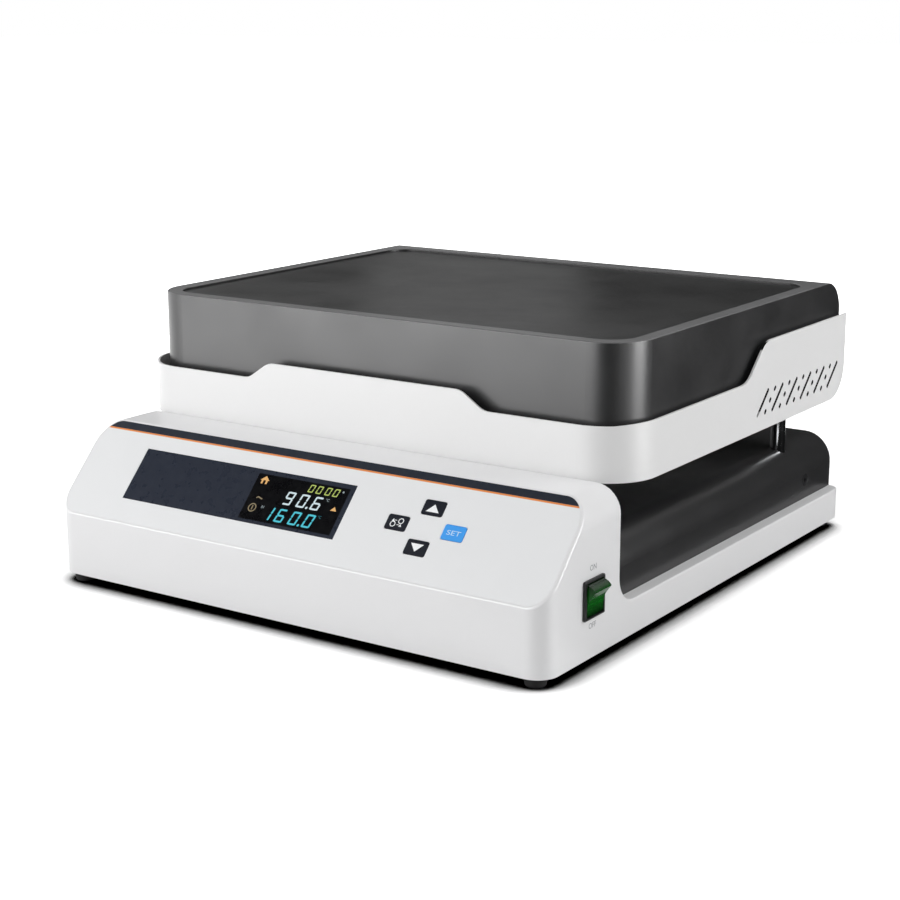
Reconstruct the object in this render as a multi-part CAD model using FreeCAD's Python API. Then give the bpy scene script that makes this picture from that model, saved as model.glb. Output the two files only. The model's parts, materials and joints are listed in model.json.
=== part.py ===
import FreeCAD, Part
import math
import os

# Graphite hot plate: a heated graphite block on four pillars over a base with a control console.
# Millimetres. X to the right, Y to the back, Z up. The origin is the middle of the footprint,
# on the bench. The console faces -Y.

# Base housing, a one-piece shell: the console in front and a low rail down each side
foot_height = 7.5
housing_lift = 7.0
housing_side_margin = 3.0
housing_rear_margin = 12.5
console_to_plate = 10.5
housing_wall = 2.5
front_height = 44.7
console_height = 102.5
console_depth = 90.0
panel_run = 54.6
rail_height = 23.7
rail_width = 9.4
rail_return_wall = 1.5
notch_radius = 20.0
console_shoulder_radius = 18.0
front_corner_radius = 15.0
rear_corner_radius = 10.0
panel_edge_radius = 1.8
console_rear_edge_radius = 1.0

# Graphite block
plate_width = 400.0
plate_depth = 335.0
plate_thickness = 60.0
plate_corner_radius = 30.7
plate_rear_radius = 24.0
plate_rim = 11.0
plate_recess_depth = 2.0
plate_recess_corner = 20.0
plate_edge_radius = 0.8

# Heat shield, a folded sheet round the front and both sides of the block
shield_gap = 4.9
shield_front_extra_gap = 3.7
shield_sheet = 1.5
shield_bottom = 107.6
shield_low_height = 36.6
shield_middle_rise = 12.2
shield_middle_half_width = 80.9
shield_front_ramp = 18.3
shield_corner_rise = 1.3
shield_corner_run = 14.0
shield_rear_rise = 27.0
shield_side_ramp_start = 161.0
shield_side_ramp = 28.0
shield_front_step_radius = 14.0
shield_side_step_radius = 20.0
shield_rear_shortfall = 1.2
shield_rear_corner_radius = 25.0
shield_flange = 12.0

# Vent slots near the rear of each side of the shield
vent_count = 6
vent_pitch = 24.7
vent_first_from_rear = 157.1
vent_rise = 16.6
vent_run = 17.3
vent_width = 2.8
vent_bottom_height = 10.9
vent_dash_rows = 3
vent_dash_length = 4.2

# Pan under the block, what it holds, and the heating elements
pan_height = 27.0
pan_sheet = 1.5
clamp_plate_thickness = 4.0
clamp_plate_gap = 0.6
element_diameter = 8.0
element_groove_gap = 0.3
element_lift = 0.2
element_runs = 6
element_side_margin = 33.0
element_end_margin = 34.0
element_middle_gap = 17.0
element_tail_bend = 12.0
element_tail_drop = 20.0
tail_slot_width = 12.0
probe_diameter = 6.0
probe_reach = 30.0
probe_bore_spare = 1.5
probe_head_diameter = 12.0
probe_head_height = 8.0
cutout_diameter = 16.0
cutout_height = 9.0
cutout_offset_y = 55.0
plate_bolt_diameter = 6.0
plate_bolt_head = 10.0
plate_bolt_head_height = 4.0
plate_bolt_grip = 18.0

# Pillars between the base and the head
pillar_diameter = 11.0
pillar_bore = 7.0
pillar_front_inset_x = 75.0
pillar_rear_inset_x = 23.0
pillar_inset_y = 53.0
pillar_hole_gap = 0.15
pillar_nut_width = 17.0
pillar_nut_height = 6.0
pillar_jam_nut_height = 4.0
nut_pocket_gap = 3.0

# Black cover over the rear of the base
cover_top_height = 65.0
cover_sheet = 1.5
cover_shoulder_radius = 22.0
cover_side_gap = 0.3
cover_end_gap = 0.3
cover_rear_setback = 0.5
cover_pillar_gap = 0.5
cover_screw_from_rear = 48.5
cover_screw_height = 38.0
cover_screw_head = 10.0

# Base plate and rear panel
base_sheet = 2.0
base_plate_gap = 0.25
base_plate_inset = 0.5
joint_gap = 0.2
base_vent_count = 12
base_vent_pitch = 9.0
base_vent_width = 3.0
base_vent_length = 44.0
base_vent_from_side = 108.0
base_vent_from_console = 124.0
rear_panel_recess = 7.0
rear_panel_sheet = 1.5
rear_panel_flange_depth = 56.0
rear_panel_flange_height = 42.5
rear_panel_foot_clearance = 2.0
rear_panel_corner_relief = 16.0
rear_vent_count = 9
rear_vent_pitch = 10.0
rear_vent_width = 4.0
rear_vent_length = 30.0
rear_vent_from_side = 123.0

# Slanted panel: film, window, display and keys. Places are across (x) and up the slope (s).
film_thickness = 0.5
film_margin = 0.4
film_gap = 0.1
window_left = -151.2
window_width = 185.0
window_low = 19.2
window_height = 40.7
window_thickness = 1.5
window_ledge = 1.2
window_gap = 0.15
display_left = -49.5
display_width = 81.5
display_inset = 1.6
display_frame_margin = 4.0
key_width = 16.0
key_height = 10.7
key_corner = 1.4
key_gap = 0.3
key_proud = 0.3
key_skirt = 1.0
key_skirt_thickness = 1.0
key_stem_diameter = 4.0
key_travel = 0.5
key_centre_x = 97.3
key_centre_s = 39.4
key_side_step = 21.8
key_rise_step = 14.6
tact_body = 6.0
tact_body_height = 3.5
tact_plunger_diameter = 3.2
tact_plunger_height = 0.8
tact_gap = 0.05
board_thickness = 1.6
key_board_depth = 12.0
key_board_left = -58.0
key_board_right = 140.0
key_board_low = 7.0
key_board_high = 71.0
panel_stud_diameter = 6.0
panel_stud_inset = 5.0
panel_stud_middle_x = 44.0
screw_m3 = 3.0

# Power switch in the right side of the console
switch_from_front = 55.8
switch_height = 39.1
bezel_width = 24.9
bezel_height = 25.6
bezel_thickness = 2.0
bezel_corner = 1.2
bezel_bevel = 0.6
switch_body_width = 22.6
switch_body_height = 23.8
switch_body_depth = 22.0
switch_fit_gap = 0.15
rocker_width = 20.0
rocker_half_length = 9.1
rocker_side_gap = 0.3
rocker_end_gap = 0.25
rocker_throw = 36.8
rocker_face_distance = 3.13
rocker_valley_radius = 14.0
rocker_tip_radius = 0.6
rocker_sink = 0.1
rocker_pin_diameter = 3.0
rocker_pin_length = 0.8
rocker_pin_clearance = 0.05
rocker_back = 2.0
rocker_well_depth = 5.8
switch_blade_width = 4.8
switch_blade_thickness = 0.8
switch_blade_length = 8.0
switch_blade_pitch = 7.0

# Mains inlet and fuse holder in the rear panel
inlet_from_side = 63.0
inlet_height = 34.0
inlet_flange_width = 50.0
inlet_flange_height = 24.0
inlet_flange_thickness = 2.5
inlet_body_width = 27.0
inlet_body_height = 20.0
inlet_body_depth = 24.0
inlet_well_width = 24.4
inlet_well_height = 17.0
inlet_well_depth = 17.0
inlet_well_chamfer = 4.5
inlet_pin_width = 2.0
inlet_pin_height = 4.0
inlet_pin_length = 14.0
inlet_pin_spread = 7.0
inlet_pin_offset = 2.0
inlet_screw_spacing = 40.0
inlet_cutout_gap = 0.3
fuse_from_inlet = 48.0
fuse_body_diameter = 12.0
fuse_body_depth = 28.0
fuse_cap_diameter = 16.0
fuse_cap_height = 5.5

# Feet
foot_top_radius = 8.0
foot_bottom_radius = 6.6
foot_side_inset = 13.6
foot_front_inset = 11.5
foot_bore_radius = 2.1
foot_counterbore_radius = 4.2
foot_counterbore_depth = 3.5
foot_screw_radius = 2.0
foot_screw_head_radius = 3.8
foot_screw_head_height = 2.4
foot_screw_reach = 3.0

# Base plate screws and the bosses that they enter
boss_radius = 4.5
boss_height = 22.0
boss_floor = 4.0
boss_from_side = 53.0
boss_stand_off = 6.5
boss_web = 3.0
rail_boss_length = 12.0
rail_boss_height = 12.0
rail_boss_from_console = 64.0
rail_boss_from_rear = 44.0
rail_boss_count = 3
rail_screw_offset = 2.4
base_screw_head_radius = 3.0
base_screw_head_height = 2.0
base_screw_reach = 12.0
tapped_hole_clearance = 0.05
screw_hole_clearance = 0.2
# How much a slot's end radius is less than half its width, so that a straight bit is left
round_end_shortfall = 0.01

# Electrical pieces on the base plate
sink_from_side = 35.0
sink_from_console = 124.0
sink_width = 92.0
sink_length = 70.0
sink_base = 5.0
sink_fin_height = 19.0
sink_fin_thickness = 2.0
sink_fin_count = 12
relay_length = 58.0
relay_width = 45.0
relay_height = 24.0
relay_step_height = 13.0
relay_step_length = 14.0
relay_screw_diameter = 6.0
relay_screw_height = 2.0
transformer_from_board = 17.0
transformer_from_pillar = 1.0
core_length = 48.0
core_height = 40.0
core_thickness = 20.0
bobbin_margin = 8.0
bobbin_corner = 4.0
transformer_foot_length = 66.0
transformer_foot_thickness = 1.5
control_from_side = 23.0
control_from_pillar = 18.5
control_width = 150.0
control_length = 100.0
spacer_height = 9.0
spacer_diameter = 7.0
spacer_inset = 6.0
capacitor_diameter = 12.0
capacitor_height = 22.0
capacitor_count = 3
capacitor_from_corner = 24.0
# Power relay, edge connector, screw connector and processor: place on the board, then size
board_blocks = (
    (92.0, 18.0, 28.0, 18.0, 16.0),
    (20.0, 78.0, 52.0, 10.0, 9.0),
    (92.0, 76.0, 40.0, 13.0, 14.0),
    (60.0, 44.0, 14.0, 14.0, 2.0),
)
terminal_from_rear_panel = 88.0
terminal_ways = 6
terminal_pitch = 9.5
terminal_depth = 18.0
terminal_height = 15.0
terminal_well_depth = 4.0
terminal_mouth_depth = 5.0
terminal_mouth_low = 3.0
terminal_mouth_high = 8.0
earth_from_side = 28.0
earth_from_pillar = 16.6
earth_stud_diameter = 5.0
earth_stud_length = 18.0
earth_nut_width = 8.0
earth_nut_height = 4.0
earth_nut_step = 8.0

# Places worked out from the sizes above
housing_width = plate_width + 2 * housing_side_margin
housing_depth = console_depth + console_to_plate + plate_depth + housing_rear_margin
half_width = housing_width / 2
front_y = -housing_depth / 2
rear_y = housing_depth / 2
crease_z = housing_lift + front_height
console_top = housing_lift + console_height
console_rear_y = front_y + console_depth
rail_top = housing_lift + rail_height
rail_inner_x = half_width - rail_width
panel_rise = console_height - front_height
panel_angle = math.degrees(math.atan2(panel_rise, panel_run))
panel_length = math.hypot(panel_run, panel_rise)

base_plate_low = housing_lift + base_plate_inset
base_plate_top = base_plate_low + base_sheet

shield_offset = shield_gap + shield_sheet
shield_low_z = shield_bottom + shield_low_height
pan_low = shield_bottom + shield_sheet
pan_floor_top = pan_low + pan_sheet
plate_bottom = pan_low + pan_height
plate_top = plate_bottom + plate_thickness
plate_front_y = console_rear_y + console_to_plate
plate_rear_y = plate_front_y + plate_depth
plate_centre_y = (plate_front_y + plate_rear_y) / 2
pillar_front_x = plate_width / 2 - pillar_front_inset_x
pillar_rear_x = plate_width / 2 - pillar_rear_inset_x
pillar_front_y = plate_front_y + pillar_inset_y
pillar_rear_y = plate_rear_y - pillar_inset_y
clamp_low = plate_bottom - clamp_plate_thickness
element_z = plate_bottom + element_lift + element_diameter / 2
element_pitch = (plate_width / 2 - element_side_margin - element_middle_gap) / (element_runs - 1)
plate_bolt_x = plate_width / 2 - element_side_margin - element_pitch / 2
plate_bolt_end_margin = element_end_margin + element_pitch / 2
groove_width = element_diameter + 2 * element_groove_gap
groove_depth = element_diameter + element_lift + element_groove_gap

cover_half = rail_inner_x - cover_side_gap
cover_top = housing_lift + cover_top_height
cover_front_y = console_rear_y + cover_end_gap
cover_rear_y = rear_y - cover_rear_setback
rear_panel_y = rear_y - rear_panel_recess

switch_y = front_y + switch_from_front
base_vent_x = half_width - base_vent_from_side
base_vent_y = console_rear_y + base_vent_from_console
rear_vent_x = cover_half - rear_vent_from_side
inlet_x = inlet_from_side - cover_half
fuse_x = inlet_x + fuse_from_inlet
sink_x = sink_from_side + sink_width / 2 - cover_half
sink_y = console_rear_y + sink_from_console + sink_length / 2
terminal_y = rear_panel_y - terminal_from_rear_panel - terminal_depth / 2
control_x = cover_half - control_from_side - control_width / 2
control_y = pillar_rear_y - control_from_pillar - control_length / 2
transformer_x = control_x - control_width / 2 - transformer_from_board - transformer_foot_length / 2
transformer_y = pillar_rear_y - transformer_from_pillar - core_thickness / 2 - bobbin_margin
earth_x = earth_from_side - cover_half
earth_y = pillar_rear_y + earth_from_pillar

screw_hole_radius = screw_m3 / 2 + screw_hole_clearance
pilot_radius = screw_m3 / 2 + tapped_hole_clearance

X_AXIS = FreeCAD.Vector(1, 0, 0)
Y_AXIS = FreeCAD.Vector(0, 1, 0)
Z_AXIS = FreeCAD.Vector(0, 0, 1)


def vec(x, y, z):
    return FreeCAD.Vector(x, y, z)


def box(low, high):
    """A box between two opposite corners."""
    size = [b - a for a, b in zip(low, high)]
    return Part.makeBox(size[0], size[1], size[2], vec(*low))


def rod(radius, start, axis, length):
    return Part.makeCylinder(radius, length, start, axis)


def tube(outer_radius, inner_radius, start, axis, length):
    return rod(outer_radius, start, axis, length).cut(rod(inner_radius, start, axis, length))


def hexagon(width, height, centre):
    """A hexagonal prism standing on centre, width across its flats."""
    corner = width / math.sqrt(3)
    points = []
    for step in range(7):
        angle = math.radians(60 * step)
        points.append(centre + vec(corner * math.cos(angle), corner * math.sin(angle), 0))
    return Part.Face(Part.makePolygon(points)).extrude(Z_AXIS * height)


def hex_nut(width, height, bore_radius, centre):
    return hexagon(width, height, centre).cut(rod(bore_radius, centre, Z_AXIS, height))


def rounded_face(x0, x1, y0, y1, front_radius, rear_radius, z=0.0):
    """A rectangle with one corner radius for its low Y side and one for its high; 0 is sharp."""
    diagonal = 1 - math.sqrt(0.5)
    corners = [
        (x0, y0, 1, 1, front_radius),
        (x1, y0, -1, 1, front_radius),
        (x1, y1, -1, -1, rear_radius),
        (x0, y1, 1, -1, rear_radius),
    ]
    edges = []
    ends = []
    for index, (x, y, inward_x, inward_y, radius) in enumerate(corners):
        on_y = vec(x, y + inward_y * radius, z)
        on_x = vec(x + inward_x * radius, y, z)
        middle = vec(x + inward_x * radius * diagonal, y + inward_y * radius * diagonal, z)
        start, end = (on_y, on_x) if index % 2 == 0 else (on_x, on_y)
        ends.append((start, end))
        if radius:
            edges.append(Part.Arc(start, middle, end).toShape())
    for index, (start, end) in enumerate(ends):
        edges.append(Part.LineSegment(end, ends[(index + 1) % 4][0]).toShape())
    return Part.Face(Part.Wire(Part.__sortEdges__(edges)))


def rounded_block(x0, x1, y0, y1, z0, z1, radius, rear_radius=None):
    rear = radius if rear_radius is None else rear_radius
    return rounded_face(x0, x1, y0, y1, radius, rear, z0).extrude(Z_AXIS * (z1 - z0))


def arch_face(half, low, top, radius, y):
    """An inverted U filled in: a rectangle in the XZ plane with both upper corners rounded."""
    diagonal = radius * (1 - math.sqrt(0.5))
    left_arc = Part.Arc(
        vec(-half, y, top - radius),
        vec(-half + diagonal, y, top - diagonal),
        vec(-half + radius, y, top),
    )
    right_arc = Part.Arc(
        vec(half - radius, y, top),
        vec(half - diagonal, y, top - diagonal),
        vec(half, y, top - radius),
    )
    edges = [
        Part.LineSegment(vec(-half, y, low), vec(-half, y, top - radius)).toShape(),
        left_arc.toShape(),
        Part.LineSegment(vec(-half + radius, y, top), vec(half - radius, y, top)).toShape(),
        right_arc.toShape(),
        Part.LineSegment(vec(half, y, top - radius), vec(half, y, low)).toShape(),
        Part.LineSegment(vec(half, y, low), vec(-half, y, low)).toShape(),
    ]
    return Part.Face(Part.Wire(edges))


def arch(half, low, top, radius, y0, y1):
    return arch_face(half, low, top, radius, y0).extrude(Y_AXIS * (y1 - y0))


def on_panel(shape):
    """Move a shape from panel places (x, s, height over the panel) to the slanted panel."""
    placed = shape.copy()
    placed.Placement = FreeCAD.Placement(
        vec(0, front_y, crease_z), FreeCAD.Rotation(X_AXIS, panel_angle)
    ).multiply(placed.Placement)
    return placed


def mirrored(shape):
    """The same shape on the other side of the middle plane."""
    return shape.mirror(vec(0, 0, 0), X_AXIS)


def merge(shapes):
    whole = shapes[0]
    if len(shapes) > 1:
        whole = whole.multiFuse(shapes[1:])
    return whole.removeSplitter()


def group(shapes):
    return Part.makeCompound(shapes)


# Housing


def console_side_face(wall):
    """The console's side outline, moved inwards by a wall; with no wall it includes the rails."""
    slope_y = panel_run / panel_length
    slope_z = panel_rise / panel_length
    line_y = front_y + wall * slope_z
    line_z = crease_z - wall * slope_y
    crease = line_z + (front_y + wall - line_y) * slope_z / slope_y
    top = console_top - wall
    shoulder = line_y + (top - line_z) * slope_y / slope_z
    low = housing_lift - wall
    back = console_rear_y - wall
    points = [vec(0, back, low), vec(0, front_y + wall, low), vec(0, front_y + wall, crease)]
    points += [vec(0, shoulder, top), vec(0, back, top)]
    if wall:
        return Part.Face(Part.makePolygon(points + points[:1]))
    diagonal = notch_radius * (1 - math.sqrt(0.5))
    arc_start = vec(0, back, rail_top + notch_radius)
    arc_end = vec(0, back + notch_radius, rail_top)
    notch = Part.Arc(arc_start, vec(0, back + diagonal, rail_top + diagonal), arc_end)
    rear_corners = [vec(0, rear_y, rail_top), vec(0, rear_y, low)]
    edges = Part.makePolygon(points[1:] + [arc_start]).Edges
    edges.append(notch.toShape())
    edges += Part.makePolygon([arc_end] + rear_corners + [points[1]]).Edges
    return Part.Face(Part.Wire(edges))


def housing_outside():
    section = arch(
        half_width, housing_lift, console_top, console_shoulder_radius, front_y, rear_y
    )
    plan = rounded_block(
        -half_width, half_width, front_y, rear_y, housing_lift, console_top,
        front_corner_radius, rear_corner_radius,
    )
    side = console_side_face(0.0)
    side.translate(vec(-half_width, 0, 0))
    side = side.extrude(X_AXIS * housing_width)
    whole = section.common(plan).common(side)
    panel_edges = slanted_face(whole).Edges
    whole = whole.makeFillet(panel_edge_radius, panel_edges)
    rear_edges = []
    for edge in whole.Edges:
        bounds = edge.BoundBox
        at_back = abs(bounds.YMin - console_rear_y) < 1e-6 and bounds.YLength < 1e-6
        if at_back and bounds.ZMax > console_top - console_shoulder_radius - 1e-6:
            rear_edges.append(edge)
    return whole.makeFillet(console_rear_edge_radius, rear_edges)


def slanted_face(solid):
    normal = FreeCAD.Rotation(X_AXIS, panel_angle).multVec(Z_AXIS)
    flat = [face for face in solid.Faces if isinstance(face.Surface, Part.Plane)]
    return max(
        (face for face in flat if face.normalAt(0, 0).getAngle(normal) < 1e-3),
        key=lambda face: face.Area,
    )


def housing_cavity():
    wall = housing_wall
    section = arch(
        half_width - wall, housing_lift - wall, console_top - wall,
        console_shoulder_radius - wall, front_y, rear_y,
    )
    plan = rounded_block(
        -half_width + wall, half_width - wall, front_y + wall, rear_y,
        housing_lift - wall, console_top, front_corner_radius - wall,
    )
    side = console_side_face(wall)
    side.translate(vec(-half_width, 0, 0))
    return section.common(plan).common(side.extrude(X_AXIS * housing_width))


def rail_hollow():
    """The hollow of the right rail, open below, from the console to the rail's rear end."""
    wall = housing_wall
    plan = rounded_block(
        -half_width + wall, half_width - wall, front_y, rear_y - wall,
        housing_lift - wall, rail_top - wall, rear_corner_radius - wall,
    )
    channel = box(
        (rail_inner_x + rail_return_wall, console_rear_y - 2 * wall, housing_lift - wall),
        (half_width, rear_y, rail_top - wall),
    )
    return plan.common(channel)


def front_boss_places():
    y = front_y + housing_wall + boss_stand_off
    return [(side * (half_width - boss_from_side), y) for side in (-1, 0, 1)]


def rail_boss_places():
    x = rail_inner_x + rail_return_wall + rail_screw_offset
    first = console_rear_y + rail_boss_from_console
    pitch = (rear_y - rail_boss_from_rear - first) / (rail_boss_count - 1)
    return [(side * x, first + step * pitch) for side in (-1, 1) for step in range(rail_boss_count)]


def housing_bosses():
    low = base_plate_top
    bosses = []
    for x, y in front_boss_places():
        bosses.append(rod(boss_radius, vec(x, y, low), Z_AXIS, boss_height))
        bosses.append(box(
            (x - boss_web / 2, front_y + housing_wall / 2, low),
            (x + boss_web / 2, y, low + boss_height),
        ))
    for x, y in rail_boss_places():
        side = math.copysign(1, x)
        near = side * (rail_inner_x + rail_return_wall / 2)
        far = side * (half_width - housing_wall / 2)
        bosses.append(box(
            (min(near, far), y - rail_boss_length / 2, low + joint_gap),
            (max(near, far), y + rail_boss_length / 2, low + rail_boss_height),
        ))
    return bosses


def window_block(grow, low, high):
    """A block over the window's outline, grown sideways, between two heights over the panel."""
    return on_panel(box(
        (window_left - grow, window_low - grow, low),
        (window_left + window_width + grow, window_low + window_height + grow, high),
    ))


def key_places():
    return {
        "key_up": (key_centre_x, key_centre_s + key_rise_step),
        "key_down": (key_centre_x, key_centre_s - key_rise_step),
        "key_mode": (key_centre_x - key_side_step, key_centre_s),
        "key_set": (key_centre_x + key_side_step, key_centre_s),
    }


def key_block(place, grow, low, high):
    x, s = place
    half_x = key_width / 2 + grow
    half_s = key_height / 2 + grow
    return on_panel(rounded_block(
        x - half_x, x + half_x, s - half_s, s + half_s, low, high, key_corner + grow / 2
    ))


def film_block(margin, low, high):
    """The flat of the slanted panel less a margin: elliptical corners, as the housing cuts them."""
    angle = math.radians(panel_angle)
    front = front_corner_radius - panel_edge_radius
    rear = console_shoulder_radius - panel_edge_radius
    x1 = half_width - panel_edge_radius - margin
    s0 = panel_edge_radius * math.tan((math.pi / 2 - angle) / 2) + margin
    s1 = panel_length - panel_edge_radius * math.tan(angle / 2) - margin
    front_axes = (front - margin, front / math.cos(angle) - margin)
    rear_axes = (rear - margin, rear / math.sin(angle) - margin)
    corners = [
        (x1, s0, -1, 1, front_axes),
        (x1, s1, -1, -1, rear_axes),
        (-x1, s1, 1, -1, rear_axes),
        (-x1, s0, 1, 1, front_axes),
    ]
    edges = []
    ends = []
    for index, (x, s, inward_x, inward_s, (axis_x, axis_s)) in enumerate(corners):
        centre = vec(x + inward_x * axis_x, s + inward_s * axis_s, low)
        on_side = vec(x, centre.y, low)
        on_end = vec(centre.x, s, low)
        ellipse = Part.Ellipse(vec(centre.x, s, low), on_side, centre)
        corner_start, corner_end = (on_end, on_side) if index % 2 == 0 else (on_side, on_end)
        sweep = sorted((ellipse.parameter(corner_start), ellipse.parameter(corner_end)))
        if sweep[1] - sweep[0] > math.pi:
            sweep = [sweep[1], sweep[0] + 2 * math.pi]
        edges.append(Part.ArcOfEllipse(ellipse, sweep[0], sweep[1]).toShape())
        ends.append((corner_start, corner_end))
    for index in range(4):
        edges.append(Part.LineSegment(ends[index][1], ends[(index + 1) % 4][0]).toShape())
    face = Part.Face(Part.Wire(Part.__sortEdges__(edges)))
    return on_panel(face.extrude(Z_AXIS * (high - low)))


def console_housing():
    shell = housing_outside().cut(housing_cavity())
    shell = shell.cut(rail_hollow())
    shell = shell.cut(mirrored(rail_hollow()))
    shell = shell.cut(box(
        (-rail_inner_x, console_rear_y, 0), (rail_inner_x, rear_y + 1, console_top + 1)
    ))
    wire_way_half = cover_half - cover_shoulder_radius
    shell = shell.cut(box(
        (-wire_way_half, console_rear_y - 2 * housing_wall, 0),
        (wire_way_half, console_rear_y + 1, cover_top - cover_shoulder_radius),
    ))
    # The return walls and the console's rear wall stop above the base plate.
    for side in (-1, 1):
        edge = side * (rail_inner_x - 1)
        back = side * (rail_inner_x + rail_return_wall)
        shell = shell.cut(box(
            (min(edge, back), console_rear_y - housing_wall, 0),
            (max(edge, back), rear_y + 1, base_plate_top + joint_gap),
        ))
    shell = shell.cut(box(
        (-half_width + housing_wall, console_rear_y - 2 * housing_wall, 0),
        (half_width - housing_wall, console_rear_y + 1, base_plate_top + joint_gap),
    ))
    shell = merge([shell] + housing_bosses())
    screw_top = base_plate_top + boss_height - boss_floor
    for x, y in front_boss_places():
        shell = shell.cut(rod(pilot_radius, vec(x, y, 0), Z_AXIS, screw_top))
    screw_top = base_plate_top + rail_boss_height
    for x, y in rail_boss_places():
        shell = shell.cut(rod(pilot_radius, vec(x, y, 0), Z_AXIS, screw_top))
    shell = shell.cut(film_block(film_margin, -film_thickness, 1.0))
    shell = shell.cut(window_block(window_gap, -window_thickness, 1.0))
    shell = shell.cut(window_block(-window_ledge, -2 * housing_wall, 1.0))
    for place in key_places().values():
        shell = shell.cut(key_block(place, key_gap, -2 * housing_wall, 1.0))
    return shell.cut(switch_block(
        switch_body_width, switch_body_height, switch_fit_gap, 2 * housing_wall
    ))


def panel_overlay():
    film = film_block(film_margin + film_gap, -film_thickness, 0.0)
    film = film.cut(window_block(window_gap, -1.0, 1.0))
    for place in key_places().values():
        film = film.cut(key_block(place, key_gap, -1.0, 1.0))
    return film


def display_window():
    return window_block(0.0, -window_thickness, 0.0)


def display_module():
    """The display's glass fills the opening behind the window; its frame stands on the board."""
    glass_low = window_low + display_inset
    glass_high = window_low + window_height - display_inset
    glass = box(
        (display_left, glass_low, -housing_wall - 1.0),
        (display_left + display_width, glass_high, -window_thickness - joint_gap),
    )
    frame = box(
        (display_left - display_frame_margin, glass_low - display_frame_margin, -key_board_depth),
        (
            display_left + display_width + display_frame_margin,
            glass_high + display_frame_margin,
            -housing_wall - joint_gap,
        ),
    )
    return on_panel(merge([glass, frame]))


def key(place):
    """A cap that slides in its opening, the skirt that holds it in, and a stem over its switch."""
    x, s = place
    skirt_top = -housing_wall - tact_gap
    skirt_low = skirt_top - key_skirt_thickness
    stem_low = -key_board_depth + tact_body_height + tact_plunger_height + key_travel + tact_gap
    cap = key_block(place, 0.0, skirt_low, key_proud)
    skirt = key_block(place, key_gap + key_skirt, skirt_low, skirt_top)
    stem = on_panel(rod(key_stem_diameter / 2, vec(x, s, stem_low), Z_AXIS, skirt_low - stem_low))
    return merge([cap, skirt, stem])


def tact_switches():
    switches = []
    for x, s in key_places().values():
        low = -key_board_depth
        body = box(
            (x - tact_body / 2, s - tact_body / 2, low),
            (x + tact_body / 2, s + tact_body / 2, low + tact_body_height),
        )
        plunger_low = vec(x, s, low + tact_body_height)
        plunger = rod(tact_plunger_diameter / 2, plunger_low, Z_AXIS, tact_plunger_height)
        switches.append(on_panel(merge([body, plunger])))
    return group(switches)


def panel_stud_places():
    inset = panel_stud_inset
    xs = (key_board_left + inset, panel_stud_middle_x, key_board_right - inset)
    ss = (key_board_low + inset, key_board_high - inset)
    return [(x, s) for x in xs for s in ss]


def key_board():
    board = box(
        (key_board_left, key_board_low, -key_board_depth - board_thickness),
        (key_board_right, key_board_high, -key_board_depth),
    )
    for x, s in panel_stud_places():
        start = vec(x, s, -key_board_depth - board_thickness)
        board = board.cut(rod(screw_hole_radius, start, Z_AXIS, board_thickness))
    return on_panel(board)


def panel_studs():
    studs = []
    for x, s in panel_stud_places():
        start = vec(x, s, -key_board_depth)
        length = key_board_depth - housing_wall
        studs.append(on_panel(tube(panel_stud_diameter / 2, pilot_radius, start, Z_AXIS, length)))
    return group(studs)


def panel_screws():
    screws = []
    for x, s in panel_stud_places():
        under = -key_board_depth - board_thickness
        head = rod(screw_m3, vec(x, s, under - screw_m3 / 2), Z_AXIS, screw_m3 / 2)
        shank = rod(screw_m3 / 2, vec(x, s, under), Z_AXIS, board_thickness + 2 * screw_m3)
        screws.append(on_panel(merge([head, shank])))
    return group(screws)


# Power switch


def switch_block(width, height, grow, depth, out=1.0):
    """A block through the right side of the console, centred on the switch."""
    z = housing_lift + switch_height
    return box(
        (half_width - depth, switch_y - width / 2 - grow, z - height / 2 - grow),
        (half_width + out, switch_y + width / 2 + grow, z + height / 2 + grow),
    )


def rocker_pivot():
    pressed_face = rocker_face_distance * math.cos(math.radians(rocker_throw / 2))
    x = half_width + bezel_thickness - rocker_sink - pressed_face
    return vec(x, switch_y, housing_lift + switch_height)


def rocker_end_radius():
    rise = rocker_half_length * math.tan(math.radians(rocker_throw / 2))
    return math.hypot(rocker_face_distance + rise, rocker_half_length)


def edges_across(body, x, z):
    """The body's edges that run along Y through one place of its section."""
    found = []
    for edge in body.Edges:
        bounds = edge.BoundBox
        near_x = abs(bounds.XMin - x) + abs(bounds.XMax - x) < 1e-3
        near_z = abs(bounds.ZMin - z) + abs(bounds.ZMax - z) < 1e-3
        if near_x and near_z:
            found.append(edge)
    return found


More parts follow.
